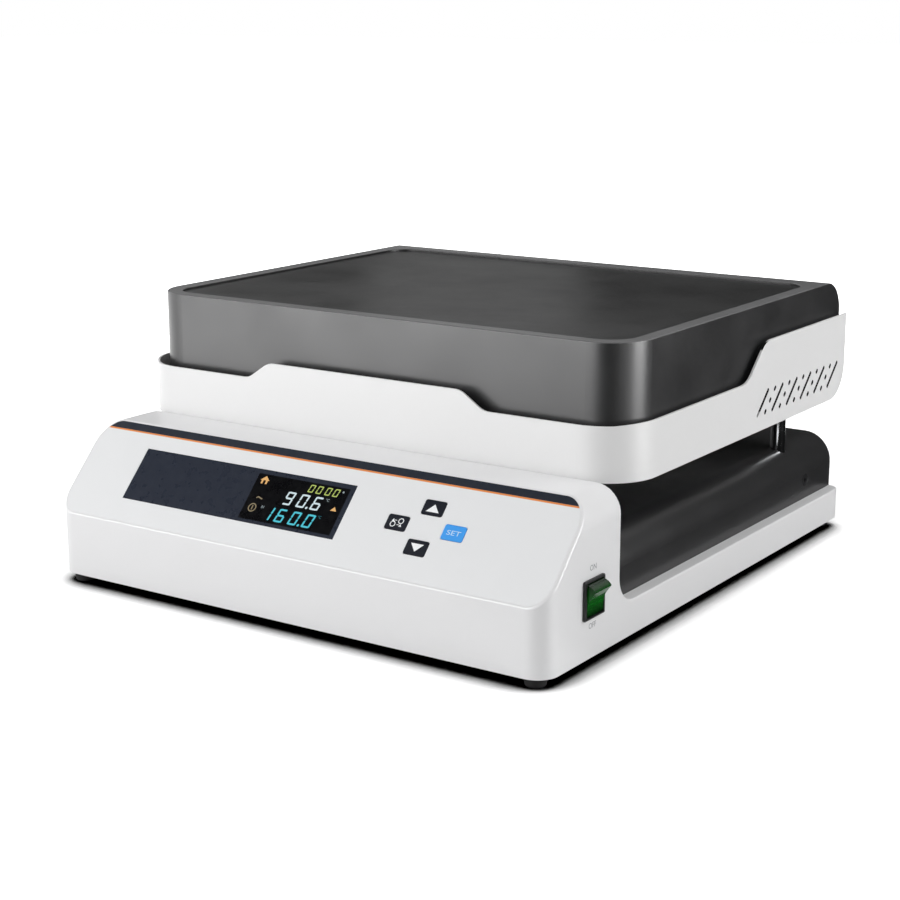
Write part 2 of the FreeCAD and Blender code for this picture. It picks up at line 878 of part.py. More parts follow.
def power_rocker():
    """Two flat faces in a shallow V, and round ends about the pivot. It rests on its lower half."""
    half_angle = rocker_throw / 2
    tip_x = rocker_face_distance + rocker_half_length * math.tan(math.radians(half_angle))
    radius = rocker_end_radius()
    tip = math.atan2(rocker_half_length, tip_x)
    heel = math.pi / 2 + math.asin(rocker_back / radius)
    y = -rocker_width / 2

    def at(angle, side):
        return vec(radius * math.cos(angle), y, side * radius * math.sin(angle))

    edges = [Part.LineSegment(vec(rocker_face_distance, y, 0), at(tip, 1)).toShape()]
    edges.append(Part.Arc(at(tip, 1), at((tip + heel) / 2, 1), at(heel, 1)).toShape())
    edges.append(Part.LineSegment(at(heel, 1), at(heel, -1)).toShape())
    edges.append(Part.Arc(at(heel, -1), at((tip + heel) / 2, -1), at(tip, -1)).toShape())
    edges.append(Part.LineSegment(at(tip, -1), vec(rocker_face_distance, y, 0)).toShape())
    body = Part.Face(Part.Wire(edges)).extrude(Y_AXIS * rocker_width)
    body = body.makeFillet(rocker_valley_radius, edges_across(body, rocker_face_distance, 0))
    for side in (-1, 1):
        tip_edges = edges_across(body, tip_x, side * rocker_half_length)
        body = body.makeFillet(rocker_tip_radius, tip_edges)
    pin_length = rocker_width + 2 * rocker_pin_length
    pin = rod(rocker_pin_diameter / 2, vec(0, -pin_length / 2, 0), Y_AXIS, pin_length)
    rocker = merge([body, pin])
    rocker.rotate(vec(0, 0, 0), Y_AXIS, half_angle)
    rocker.translate(rocker_pivot())
    return rocker


def switch_body():
    z = housing_lift + switch_height
    bezel = rounded_block(
        -bezel_height / 2, bezel_height / 2, -bezel_width / 2, bezel_width / 2,
        0, bezel_thickness, bezel_corner,
    )
    face_edges = [edge for edge in bezel.Edges if edge.BoundBox.ZMin > bezel_thickness - 0.01]
    bezel = bezel.makeChamfer(bezel_bevel, face_edges)
    bezel.rotate(vec(0, 0, 0), Y_AXIS, 90)
    bezel.translate(vec(half_width, switch_y, z))
    body = switch_block(switch_body_width, switch_body_height, 0.0, switch_body_depth, 0.0)
    pivot = rocker_pivot()
    well_half_y = rocker_width / 2 + rocker_side_gap
    well_half_z = rocker_end_radius() + rocker_end_gap
    well = box(
        (pivot.x - rocker_well_depth, switch_y - well_half_y, z - well_half_z),
        (half_width + bezel_thickness + 1, switch_y + well_half_y, z + well_half_z),
    )
    pin_half = rocker_width / 2 + rocker_pin_length + rocker_side_gap
    bore = rod(
        rocker_pin_diameter / 2 + rocker_pin_clearance,
        pivot - Y_AXIS * pin_half, Y_AXIS, 2 * pin_half,
    )
    whole = merge([bezel, body]).cut(well).cut(bore)
    blades = []
    x = half_width - switch_body_depth
    half_y = switch_blade_width / 2
    half_z = switch_blade_thickness / 2
    for step in (-1, 0, 1):
        blade_z = z + step * switch_blade_pitch
        blades.append(box(
            (x - switch_blade_length, switch_y - half_y, blade_z - half_z),
            (x, switch_y + half_y, blade_z + half_z),
        ))
    return merge([whole] + blades)


# Base plate, feet and cover


def feet_places():
    x = half_width - foot_side_inset
    y = -front_y - foot_front_inset
    return {
        "foot_front_left": (-x, -y),
        "foot_front_right": (x, -y),
        "foot_rear_left": (-x, y),
        "foot_rear_right": (x, y),
    }


def pillar_places():
    rows = ((pillar_front_x, pillar_front_y), (pillar_rear_x, pillar_rear_y))
    return [(side * x, y) for x, y in rows for side in (-1, 1)]


def slot_row(centre_x, centre_y, count, pitch, width, length, z, height):
    slots = []
    first = centre_x - pitch * (count - 1) / 2
    for step in range(count):
        x = first + step * pitch
        slots.append(rounded_block(
            x - width / 2, x + width / 2, centre_y - length / 2, centre_y + length / 2,
            z, z + height, width / 2 - round_end_shortfall,
        ))
    return slots


def base_plate():
    inset = housing_wall + base_plate_gap
    plate = rounded_block(
        -half_width + inset, half_width - inset, front_y + inset, rear_y - inset,
        base_plate_low, base_plate_top, front_corner_radius - inset, rear_corner_radius - inset,
    )
    holes = []
    for side in (-1, 1):
        holes += slot_row(
            side * base_vent_x, base_vent_y, base_vent_count, base_vent_pitch,
            base_vent_width, base_vent_length, base_plate_low, base_sheet,
        )
    for x, y in front_boss_places() + rail_boss_places():
        holes.append(rod(screw_hole_radius, vec(x, y, base_plate_low), Z_AXIS, base_sheet))
    for x, y in feet_places().values():
        holes.append(rod(
            foot_screw_radius + tapped_hole_clearance, vec(x, y, base_plate_low), Z_AXIS, base_sheet
        ))
    for x, y in pillar_places():
        holes.append(rod(
            pillar_diameter / 2 + pillar_hole_gap, vec(x, y, base_plate_low), Z_AXIS, base_sheet
        ))
    return plate.cut(group(holes))


def base_screws():
    screws = []
    for x, y in front_boss_places() + rail_boss_places():
        low = base_plate_low - base_screw_head_height
        head = rod(base_screw_head_radius, vec(x, y, low), Z_AXIS, base_screw_head_height)
        shank = rod(screw_m3 / 2, vec(x, y, base_plate_low), Z_AXIS, base_screw_reach)
        screws.append(merge([head, shank]))
    return group(screws)


def foot(place):
    x, y = place
    body = Part.makeCone(foot_bottom_radius, foot_top_radius, foot_height, vec(x, y, 0))
    low_edge = [edge for edge in body.Edges if abs(edge.BoundBox.ZMax) < 1e-6]
    body = body.makeFillet(1.0, low_edge)
    body = body.cut(rod(foot_bore_radius, vec(x, y, 0), Z_AXIS, foot_height))
    return body.cut(rod(foot_counterbore_radius, vec(x, y, 0), Z_AXIS, foot_counterbore_depth))


def foot_screws():
    screws = []
    for x, y in feet_places().values():
        low = foot_counterbore_depth - foot_screw_head_height
        head = rod(foot_screw_head_radius, vec(x, y, low), Z_AXIS, foot_screw_head_height)
        length = foot_height - foot_counterbore_depth + foot_screw_reach
        shank = rod(foot_screw_radius, vec(x, y, foot_counterbore_depth), Z_AXIS, length)
        screws.append(merge([head, shank]))
    return group(screws)


def cover_screw_place(side):
    """Where a cover screw's head meets the cover's side, and the way it points outwards."""
    return vec(side * cover_half, rear_y - cover_screw_from_rear, housing_lift + cover_screw_height)


def countersink(side, grow):
    start = cover_screw_place(side)
    large = cover_screw_head / 2 + grow
    small = cover_screw_head / 4 + grow
    return Part.makeCone(large, small, cover_sheet, start, X_AXIS * -side)


def rear_cover():
    low = base_plate_top + joint_gap
    outer = arch(cover_half, low, cover_top, cover_shoulder_radius, cover_front_y, cover_rear_y)
    inner = arch(
        cover_half - cover_sheet, low - 1, cover_top - cover_sheet,
        cover_shoulder_radius - cover_sheet, cover_front_y - 1, cover_rear_y + 1,
    )
    cover = outer.cut(inner)
    hole = pillar_diameter / 2 + cover_pillar_gap
    for x, y in pillar_places():
        cover = cover.cut(rod(hole, vec(x, y, low), Z_AXIS, cover_top))
    for side in (-1, 1):
        cover = cover.cut(countersink(side, cover_pillar_gap / 3))
    return cover


def cover_screws():
    screws = []
    for side in (-1, 1):
        start = cover_screw_place(side)
        head = countersink(side, 0.0)
        inner = start - X_AXIS * (side * cover_sheet)
        shank = rod(screw_m3 / 2, inner, X_AXIS * -side, 4 * screw_m3)
        socket_low = start - X_AXIS * (side * cover_sheet * 0.7)
        socket = rod(screw_m3 * 0.45, socket_low, X_AXIS * side, cover_sheet)
        screws.append(merge([head, shank]).cut(socket))
    return group(screws)


def rear_panel():
    gap = cover_sheet + joint_gap
    half = cover_half - gap
    low = base_plate_top
    top = cover_top - gap
    radius = cover_shoulder_radius - gap
    panel = arch(half, low, top, radius, rear_panel_y - rear_panel_sheet, rear_panel_y)
    pieces = [panel]
    flange_front = rear_panel_y - rear_panel_flange_depth
    flange_top = housing_lift + rear_panel_flange_height
    for side in (-1, 1):
        near = side * (half - rear_panel_sheet)
        far = side * half
        pieces.append(box(
            (min(near, far), flange_front, low + rear_panel_foot_clearance),
            (max(near, far), rear_panel_y, flange_top),
        ))
    foot_half = half - rear_panel_corner_relief
    pieces.append(box(
        (-foot_half, rear_panel_y - rear_panel_flange_depth / 3, low),
        (foot_half, rear_panel_y, low + rear_panel_sheet),
    ))
    whole = merge(pieces)
    cut_y = rear_panel_y - 2 * rear_panel_sheet
    half_w = inlet_body_width / 2 + inlet_cutout_gap
    half_h = inlet_body_height / 2 + inlet_cutout_gap
    inlet_z = housing_lift + inlet_height
    holes = [box(
        (inlet_x - half_w, cut_y, inlet_z - half_h),
        (inlet_x + half_w, rear_panel_y + 1, inlet_z + half_h),
    )]
    for side in (-1, 1):
        place = vec(inlet_x + side * inlet_screw_spacing / 2, cut_y, inlet_z)
        holes.append(rod(pilot_radius, place, Y_AXIS, 3 * rear_panel_sheet))
    fuse_radius = fuse_body_diameter / 2 + inlet_cutout_gap
    holes.append(rod(fuse_radius, vec(fuse_x, cut_y, inlet_z), Y_AXIS, 3 * rear_panel_sheet))
    for slot in slot_row(
        rear_vent_x, inlet_z, rear_vent_count, rear_vent_pitch, rear_vent_width,
        rear_vent_length, 0, 3 * rear_panel_sheet,
    ):
        slot.rotate(vec(0, inlet_z, 0), X_AXIS, -90)
        slot.translate(vec(0, cut_y - inlet_z, inlet_z))
        holes.append(slot)
    for side in (-1, 1):
        start = cover_screw_place(side) - X_AXIS * (side * cover_sheet)
        holes.append(rod(pilot_radius, start, X_AXIS * -side, 4 * screw_m3))
    return whole.cut(group(holes))


# Mains inlet and fuse holder


def power_inlet():
    z = housing_lift + inlet_height
    face_y = rear_panel_y + inlet_flange_thickness
    half_w = inlet_flange_width / 2
    half_h = inlet_flange_height / 2
    flange = rounded_block(
        inlet_x - half_w, inlet_x + half_w, -half_h, half_h,
        0, inlet_flange_thickness, half_h / 2,
    )
    flange.rotate(vec(0, 0, 0), X_AXIS, 90)
    flange.translate(vec(0, face_y, z))
    body_half_w = inlet_body_width / 2
    body_half_h = inlet_body_height / 2
    body = box(
        (inlet_x - body_half_w, rear_panel_y - inlet_body_depth, z - body_half_h),
        (inlet_x + body_half_w, rear_panel_y, z + body_half_h),
    )
    well_half = inlet_well_width / 2
    low = z - inlet_well_height / 2
    top = z + inlet_well_height / 2
    cut = inlet_well_chamfer
    outline = [
        (inlet_x - well_half, low), (inlet_x + well_half, low), (inlet_x + well_half, top - cut),
        (inlet_x + well_half - cut, top), (inlet_x - well_half + cut, top),
        (inlet_x - well_half, top - cut), (inlet_x - well_half, low),
    ]
    points = [vec(x, face_y, height) for x, height in outline]
    well = Part.Face(Part.makePolygon(points)).extrude(Y_AXIS * -inlet_well_depth)
    whole = merge([flange, body]).cut(well)
    pins = []
    pin_back = face_y - inlet_well_depth
    for side in (-1, 0, 1):
        x = inlet_x + side * inlet_pin_spread
        pin_z = z - inlet_pin_offset if side else z + inlet_pin_offset
        pins.append(box(
            (x - inlet_pin_width / 2, pin_back - 1, pin_z - inlet_pin_height / 2),
            (x + inlet_pin_width / 2, pin_back + inlet_pin_length, pin_z + inlet_pin_height / 2),
        ))
    whole = merge([whole] + pins)
    for side in (-1, 1):
        place = vec(inlet_x + side * inlet_screw_spacing / 2, rear_panel_y - 1, z)
        whole = whole.cut(rod(screw_hole_radius, place, Y_AXIS, inlet_flange_thickness + 2))
    return whole


def inlet_screws():
    screws = []
    for side in (-1, 1):
        x = inlet_x + side * inlet_screw_spacing / 2
        z = housing_lift + inlet_height
        seat = vec(x, rear_panel_y + inlet_flange_thickness, z)
        head = rod(screw_m3 * 0.9, seat, Y_AXIS, screw_m3 / 2)
        shank = rod(screw_m3 / 2, seat, Y_AXIS * -1, inlet_flange_thickness + 2 * screw_m3)
        screws.append(merge([head, shank]))
    return group(screws)


def fuse_holder():
    z = housing_lift + inlet_height
    body = rod(fuse_body_diameter / 2, vec(fuse_x, rear_panel_y, z), Y_AXIS * -1, fuse_body_depth)
    cap = rod(fuse_cap_diameter / 2, vec(fuse_x, rear_panel_y, z), Y_AXIS, fuse_cap_height)
    rim = [edge for edge in cap.Edges if edge.BoundBox.YMin > rear_panel_y + fuse_cap_height - 0.01]
    cap = cap.makeFillet(1.0, rim)
    slot = box(
        (fuse_x - fuse_cap_diameter / 4, rear_panel_y + fuse_cap_height - 1.2, z - 0.6),
        (fuse_x + fuse_cap_diameter / 4, rear_panel_y + fuse_cap_height + 1, z + 0.6),
    )
    return merge([body, cap]).cut(slot)


# Electrical pieces on the base plate


def heat_sink():
    low = base_plate_top
    base_low = low + sink_fin_height
    pieces = [box(
        (sink_x - sink_width / 2, sink_y - sink_length / 2, base_low),
        (sink_x + sink_width / 2, sink_y + sink_length / 2, base_low + sink_base),
    )]
    pitch = (sink_width - sink_fin_thickness) / (sink_fin_count - 1)
    for step in range(sink_fin_count):
        x = sink_x - sink_width / 2 + step * pitch
        pieces.append(box(
            (x, sink_y - sink_length / 2, low),
            (x + sink_fin_thickness, sink_y + sink_length / 2, base_low),
        ))
    return merge(pieces)


def solid_state_relay():
    low = base_plate_top + sink_fin_height + sink_base
    half_x = relay_width / 2
    half_y = relay_length / 2
    body = box(
        (sink_x - half_x, sink_y - half_y, low),
        (sink_x + half_x, sink_y + half_y, low + relay_height),
    )
    for side in (-1, 1):
        y = sink_y + side * half_y
        inner = y - side * relay_step_length
        body = body.cut(box(
            (sink_x - half_x, min(y, inner), low + relay_step_height),
            (sink_x + half_x, max(y, inner), low + relay_height),
        ))
    terminals = []
    for side in (-1, 1):
        for step in (-1, 1):
            place = vec(
                sink_x + step * half_x / 2, sink_y + side * (half_y - relay_step_length / 2),
                low + relay_step_height,
            )
            terminals.append(rod(relay_screw_diameter / 2, place, Z_AXIS, relay_screw_height))
    return merge([body] + terminals)


def transformer():
    low = base_plate_top
    core_low = low + transformer_foot_thickness
    half_x = core_length / 2
    half_y = core_thickness / 2
    core = box(
        (transformer_x - half_x, transformer_y - half_y, core_low),
        (transformer_x + half_x, transformer_y + half_y, core_low + core_height),
    )
    coil_half_x = half_x - bobbin_margin
    coil_half_y = half_y + bobbin_margin
    coil = rounded_block(
        transformer_x - coil_half_x, transformer_x + coil_half_x,
        transformer_y - coil_half_y, transformer_y + coil_half_y,
        core_low + bobbin_margin, core_low + core_height - bobbin_margin, bobbin_corner,
    )
    strap = box(
        (transformer_x - transformer_foot_length / 2, transformer_y - core_thickness / 3, low),
        (transformer_x + transformer_foot_length / 2, transformer_y + core_thickness / 3, core_low),
    )
    return merge([core, coil, strap])


def control_spacer_places():
    half_x = control_width / 2 - spacer_inset
    half_y = control_length / 2 - spacer_inset
    return [(control_x + sx * half_x, control_y + sy * half_y) for sy in (-1, 1) for sx in (-1, 1)]


def control_board():
    low = base_plate_top + spacer_height
    top = low + board_thickness
    left = control_x - control_width / 2
    front = control_y - control_length / 2
    board = box((left, front, low), (left + control_width, front + control_length, top))
    for x, y in control_spacer_places():
        board = board.cut(rod(screw_hole_radius, vec(x, y, low), Z_AXIS, board_thickness))
    pieces = [board]
    for step in range(capacitor_count):
        x = left + capacitor_from_corner + step * 1.5 * capacitor_diameter
        place = vec(x, front + capacitor_from_corner, top)
        pieces.append(rod(capacitor_diameter / 2, place, Z_AXIS, capacitor_height))
    for x, y, width, length, height in board_blocks:
        low = (left + x, front + y, top)
        pieces.append(box(low, (low[0] + width, low[1] + length, top + height)))
    return merge(pieces)


def board_spacers():
    spacers = []
    for x, y in control_spacer_places():
        start = vec(x, y, base_plate_top)
        spacers.append(tube(spacer_diameter / 2, pilot_radius, start, Z_AXIS, spacer_height))
    return group(spacers)


def board_screws():
    screws = []
    for x, y in control_spacer_places():
        seat = base_plate_top + spacer_height + board_thickness
        head = rod(screw_m3, vec(x, y, seat), Z_AXIS, screw_m3 / 2)
        reach = spacer_height / 2 + board_thickness
        shank = rod(screw_m3 / 2, vec(x, y, seat - reach), Z_AXIS, reach)
        screws.append(merge([head, shank]))
    return group(screws)


def terminal_block():
    low = base_plate_top
    length = terminal_ways * terminal_pitch
    left = sink_x - length / 2
    front = terminal_y - terminal_depth / 2
    block = box((left, front, low), (left + length, front + terminal_depth, low + terminal_height))
    for step in range(terminal_ways):
        x = left + (step + 0.5) * terminal_pitch
        well_low = vec(x, terminal_y, low + terminal_height - terminal_well_depth)
        well = rod(terminal_pitch / 3, well_low, Z_AXIS, terminal_well_depth + 1)
        mouth = box(
            (x - terminal_pitch / 3, front - 1, low + terminal_mouth_low),
            (x + terminal_pitch / 3, front + terminal_mouth_depth, low + terminal_mouth_high),
        )
        block = block.cut(well).cut(mouth)
    return block


def earth_stud():
    place = vec(earth_x, earth_y, base_plate_top)
    stud = rod(earth_stud_diameter / 2, place, Z_AXIS, earth_stud_length)
    nut = hexagon(earth_nut_width, earth_nut_height, place)
    upper = hexagon(earth_nut_width, earth_nut_height, place + Z_AXIS * earth_nut_step)
    return merge([stud, nut, upper])


# Pillars


def pillars():
    """Each pillar runs from under the base plate to inside the pan of the head."""
    low = base_plate_low - pillar_jam_nut_height
    top = pan_floor_top + pillar_nut_height
    made = []
    for x, y in pillar_places():
        made.append(tube(pillar_diameter / 2, pillar_bore / 2, vec(x, y, low), Z_AXIS, top - low))
    return made


def nuts_at(levels):
    made = []
    bore = pillar_diameter / 2 + tapped_hole_clearance
    for x, y in pillar_places():
        for z, height in levels:
            made.append(hex_nut(pillar_nut_width, height, bore, vec(x, y, z)))
    return group(made)


def base_nuts():
    return nuts_at([
        (base_plate_low - pillar_jam_nut_height, pillar_jam_nut_height),
        (base_plate_top, pillar_nut_height),
    ])


def head_nuts():
    return nuts_at([
        (pan_low - pillar_nut_height, pillar_nut_height),
        (pan_floor_top, pillar_nut_height),
    ])


# Head


def element_paths(side):
    """The runs of one element: their places across the block and the two ends of each."""
    low = plate_front_y + element_end_margin
    high = plate_rear_y - element_end_margin
    xs = [side * (element_middle_gap + step * element_pitch) for step in range(element_runs)]
    return xs, low, high


def element_wire(side):
    """Down-turned tails at the rear, and straight runs joined by half circles."""
    xs, low, high = element_paths(side)
    bend = element_pitch / 2
    tail = element_tail_bend
    corner = tail * math.sqrt(0.5)
    edges = []

    def tail_edges(x):
        top = vec(x, high, element_z)
        middle = vec(x, high + corner, element_z - tail + corner)
        foot_point = vec(x, high + tail, element_z - tail)
        end = vec(x, high + tail, element_z - element_tail_drop)
        straight = Part.LineSegment(end, foot_point).toShape()
        return [straight, Part.Arc(foot_point, middle, top).toShape()]

    edges += tail_edges(xs[0])
    for step, x in enumerate(xs):
        first = step == 0
        last = step == len(xs) - 1
        going_down = step % 2 == 0
        start_y = high if first else (low + bend if not going_down else high - bend)
        end_y = high if last else (low + bend if going_down else high - bend)
        start = vec(x, start_y, element_z)
        edges.append(Part.LineSegment(start, vec(x, end_y, element_z)).toShape())
        if not last:
            outward = -bend if going_down else bend
            middle = vec((x + xs[step + 1]) / 2, end_y + outward, element_z)
            edges.append(Part.Arc(
                vec(x, end_y, element_z), middle, vec(xs[step + 1], end_y, element_z)
            ).toShape())
    edges += list(reversed(tail_edges(xs[-1])))
    return Part.Wire(Part.__sortEdges__(edges))


def heating_element(side):
    xs, _, high = element_paths(side)
    start = vec(xs[0], high + element_tail_bend, element_z - element_tail_drop)
    circle = Part.Wire(Part.makeCircle(element_diameter / 2, start, Z_AXIS))
    return element_wire(side).makePipeShell([circle], True, False)


def element_grooves(side):
    """Channels in the underside of the block, a little wider than the element."""
    xs, low, high = element_paths(side)
    bend = element_pitch / 2
    half = groove_width / 2
    z0 = plate_bottom - 1
    z1 = plate_bottom + groove_depth
    cuts = []
    for step, x in enumerate(xs):
        ends_here = step in (0, len(xs) - 1)
        far = high + element_tail_bend + half if ends_here else high - bend
        cuts.append(box((x - half, low + bend, z0), (x + half, far, z1)))
    for step in range(len(xs) - 1):
        centre_x = (xs[step] + xs[step + 1]) / 2
        at_front = step % 2 == 0
        centre_y = low + bend if at_front else high - bend
        centre = vec(centre_x, centre_y, z0)
        ring = tube(bend + half, bend - half, centre, Z_AXIS, z1 - z0)
        reach = bend + half + 1
        keep_low = centre_y - reach if at_front else centre_y
        keep = box(
            (centre_x - reach, keep_low, z0), (centre_x + reach, keep_low + reach, z1)
        )
        cuts.append(ring.common(keep))
    return cuts


def plate_bolt_places():
    """The bolts stand inside the end turns of each element's outermost runs."""
    ends = (plate_front_y + plate_bolt_end_margin, plate_rear_y - plate_bolt_end_margin)
    return [(side * plate_bolt_x, y) for y in ends for side in (-1, 1)]


def plate_outline_edges(block):
    """The outline of the block's top, and on each side the rear round and the edge below it."""
    round_start = plate_rear_y - plate_rear_radius
    found = []
    for edge in block.Edges:
        bounds = edge.BoundBox
        along_top = bounds.ZMin > plate_top - 1e-6 and bounds.YMin < round_start - 1e-6
        on_side = bounds.XLength < 1e-6 and bounds.YMax > round_start + 1e-6
        if along_top or (on_side and bounds.ZMax > plate_bottom + 1e-6):
            found.append(edge)
    return found


def recess_mouth_edges(block):
    half = plate_width / 2 - plate_rim + 1e-6
    low = plate_front_y + plate_rim - 1e-6
    high = plate_rear_y - plate_rear_radius - 1e-6
    found = []
    for edge in block.Edges:
        bounds = edge.BoundBox
        across = bounds.XMax < half and bounds.XMin > -half
        along = bounds.YMin > low and bounds.YMax < high
        if across and along and bounds.ZMin > plate_top - 1e-6:
            found.append(edge)
    return found


def plate_rear_round():
    """What the large quarter round along the rear upper edge takes off."""
    half = plate_width / 2 + 1
    radius = plate_rear_radius
    low = (-half, plate_rear_y - radius, plate_top - radius)
    corner = box(low, (half, plate_rear_y + 1, plate_top + 1))
    return corner.cut(rod(radius, vec(*low), X_AXIS, 2 * half))


def graphite_plate():
    half = plate_width / 2
    block = rounded_block(
        -half, half, plate_front_y, plate_rear_y, plate_bottom, plate_top, plate_corner_radius, 0
    )
    block = block.cut(plate_rear_round())
    block = block.makeFillet(plate_edge_radius, plate_outline_edges(block))
    recess = rounded_block(
        -half + plate_rim, half - plate_rim, plate_front_y + plate_rim,
        plate_rear_y - plate_rear_radius - plate_rim,
        plate_top - plate_recess_depth, plate_top + 1, plate_recess_corner,
    )
    block = block.cut(recess)
    block = block.makeFillet(plate_edge_radius, recess_mouth_edges(block))
    cuts = element_grooves(-1) + element_grooves(1)
    for x, y in plate_bolt_places():
        cuts.append(rod(
            plate_bolt_diameter / 2 + tapped_hole_clearance, vec(x, y, plate_bottom - 1), Z_AXIS,
            plate_bolt_grip + 2,
        ))
    cuts.append(rod(
        probe_diameter / 2 + tapped_hole_clearance, vec(0, plate_centre_y, plate_bottom - 1),
        Z_AXIS, probe_reach + probe_bore_spare,
    ))
    return block.cut(group(cuts))


def plate_bolts():
    bolts = []
    for x, y in plate_bolt_places():
        head_low = vec(x, y, pan_low - plate_bolt_head_height)
        head = hexagon(plate_bolt_head, plate_bolt_head_height, head_low)
        length = plate_bottom + plate_bolt_grip - pan_low
        shank = rod(plate_bolt_diameter / 2, vec(x, y, pan_low), Z_AXIS, length)
        bolts.append(merge([head, shank]))
    return group(bolts)


def bolt_holes(low, height):
    """Clearance holes for the plate bolts in the pieces under the block."""
    holes = []
    for x, y in plate_bolt_places():
        radius = plate_bolt_diameter / 2 + screw_hole_clearance
        holes.append(rod(radius, vec(x, y, low), Z_AXIS, height))
    return holes


def tail_holes(low, height):
    """Slots that let the elements turn down through the pieces under the block."""
    holes = []
    half = tail_slot_width / 2
    for side in (-1, 1):
        xs, _, end = element_paths(side)
        far = end + element_tail_bend + half
        for x in (xs[0], xs[-1]):
            holes.append(rounded_block(
                x - half, x + half, end, far, low, low + height, half - round_end_shortfall
            ))
    return holes


def head_pan():
    half = plate_width / 2
    outer = rounded_block(
        -half, half, plate_front_y, plate_rear_y, pan_low, plate_bottom, plate_corner_radius
    )
    inner = rounded_block(
        -half + pan_sheet, half - pan_sheet, plate_front_y + pan_sheet, plate_rear_y - pan_sheet,
        pan_floor_top, plate_bottom + 1, plate_corner_radius - pan_sheet,
    )
    pan = outer.cut(inner)
    holes = bolt_holes(pan_low, pan_sheet)
    pillar_hole = pillar_diameter / 2 + pillar_hole_gap
    for x, y in pillar_places():
        holes.append(rod(pillar_hole, vec(x, y, pan_low), Z_AXIS, pan_sheet))
    for x, y in shield_screw_places():
        holes.append(rod(pilot_radius, vec(x, y, pan_low), Z_AXIS, pan_sheet))
    return pan.cut(group(holes))


def insulation_board():
    inset = pan_sheet + clamp_plate_gap
    half = plate_width / 2 - inset
    board = rounded_block(
        -half, half, plate_front_y + inset, plate_rear_y - inset,
        pan_floor_top, clamp_low, plate_corner_radius - inset,
    )
    height = clamp_low - pan_floor_top
    holes = bolt_holes(pan_floor_top, height) + tail_holes(pan_floor_top, height)
    pocket = pillar_nut_width / math.sqrt(3) + nut_pocket_gap
    pocket_height = pillar_nut_height + nut_pocket_gap
    for x, y in pillar_places():
        holes.append(rod(pocket, vec(x, y, pan_floor_top), Z_AXIS, pocket_height))
    for x, y in shield_screw_places():
        holes.append(rod(screw_m3, vec(x, y, pan_floor_top), Z_AXIS, 2 * screw_m3))
    head = probe_head_diameter / 2 + screw_hole_clearance
    holes.append(rod(head, vec(0, plate_centre_y, pan_floor_top), Z_AXIS, height))
    snap = cutout_diameter / 2 + screw_hole_clearance
    holes.append(rod(snap, vec(0, plate_centre_y + cutout_offset_y, pan_floor_top), Z_AXIS, height))
    return board.cut(group(holes))


def clamp_plate():
    inset = pan_sheet + clamp_plate_gap
    half = plate_width / 2 - inset
    plate = rounded_block(
        -half, half, plate_front_y + inset, plate_rear_y - inset,
        clamp_low, plate_bottom, plate_corner_radius - inset,
    )
    thickness = clamp_plate_thickness
    holes = bolt_holes(clamp_low, thickness) + tail_holes(clamp_low, thickness)
    probe = probe_diameter / 2 + screw_hole_clearance
    holes.append(rod(probe, vec(0, plate_centre_y, clamp_low), Z_AXIS, thickness))
    return plate.cut(group(holes))


def temperature_probe():
    head = rod(
        probe_head_diameter / 2, vec(0, plate_centre_y, clamp_low - probe_head_height), Z_AXIS,
        probe_head_height,
    )
    length = clamp_plate_thickness + probe_reach
    sheath = rod(probe_diameter / 2, vec(0, plate_centre_y, clamp_low), Z_AXIS, length)
    return merge([head, sheath])


def overheat_cutout():
    """A disc thermostat under the clamp plate, with its two blades."""
    y = plate_centre_y + cutout_offset_y
    disc = rod(cutout_diameter / 2, vec(0, y, clamp_low - cutout_height), Z_AXIS, cutout_height)
    pieces = [disc]
    for side in (-1, 1):
        x = side * cutout_diameter / 4
        low = clamp_low - cutout_height - switch_blade_length
        pieces.append(box(
            (x - switch_blade_thickness / 2, y - switch_blade_width / 2, low),
            (x + switch_blade_thickness / 2, y + switch_blade_width / 2, clamp_low - cutout_height),
        ))
    return merge(pieces)


# Heat shield


def shield_wall(grow):
    """The U seen from above, filled in: the block's outline grown by a gap, open to the rear."""
    half = plate_width / 2 + grow
    front = plate_front_y - shield_front_extra_gap - grow
    rear = plate_rear_y - shield_rear_shortfall
    face = rounded_face(-half, half, front, rear, plate_corner_radius + grow, 0, shield_bottom)
    return face.extrude(Z_AXIS * (shield_low_height + shield_rear_rise))


def stepped_outline(points, radius, to_point):
    """A polygon with every turn rounded, from (place, height) pairs; to_point makes them 3-D."""
    edges = []
    previous = to_point(*points[0])
    for index in range(1, len(points) - 1):
        corner = to_point(*points[index])
        before = (to_point(*points[index - 1]) - corner).normalize()
        after = (to_point(*points[index + 1]) - corner).normalize()
        turn = before.getAngle(after)
        back = radius / math.tan(turn / 2)
        start = corner + before * back
        end = corner + after * back
        bisector = (before + after).normalize()
        middle = corner + bisector * (radius / math.sin(turn / 2) - radius)
        edges.append(Part.LineSegment(previous, start).toShape())
        edges.append(Part.Arc(start, middle, end).toShape())
        previous = end
    edges.append(Part.LineSegment(previous, to_point(*points[-1])).toShape())
    return edges


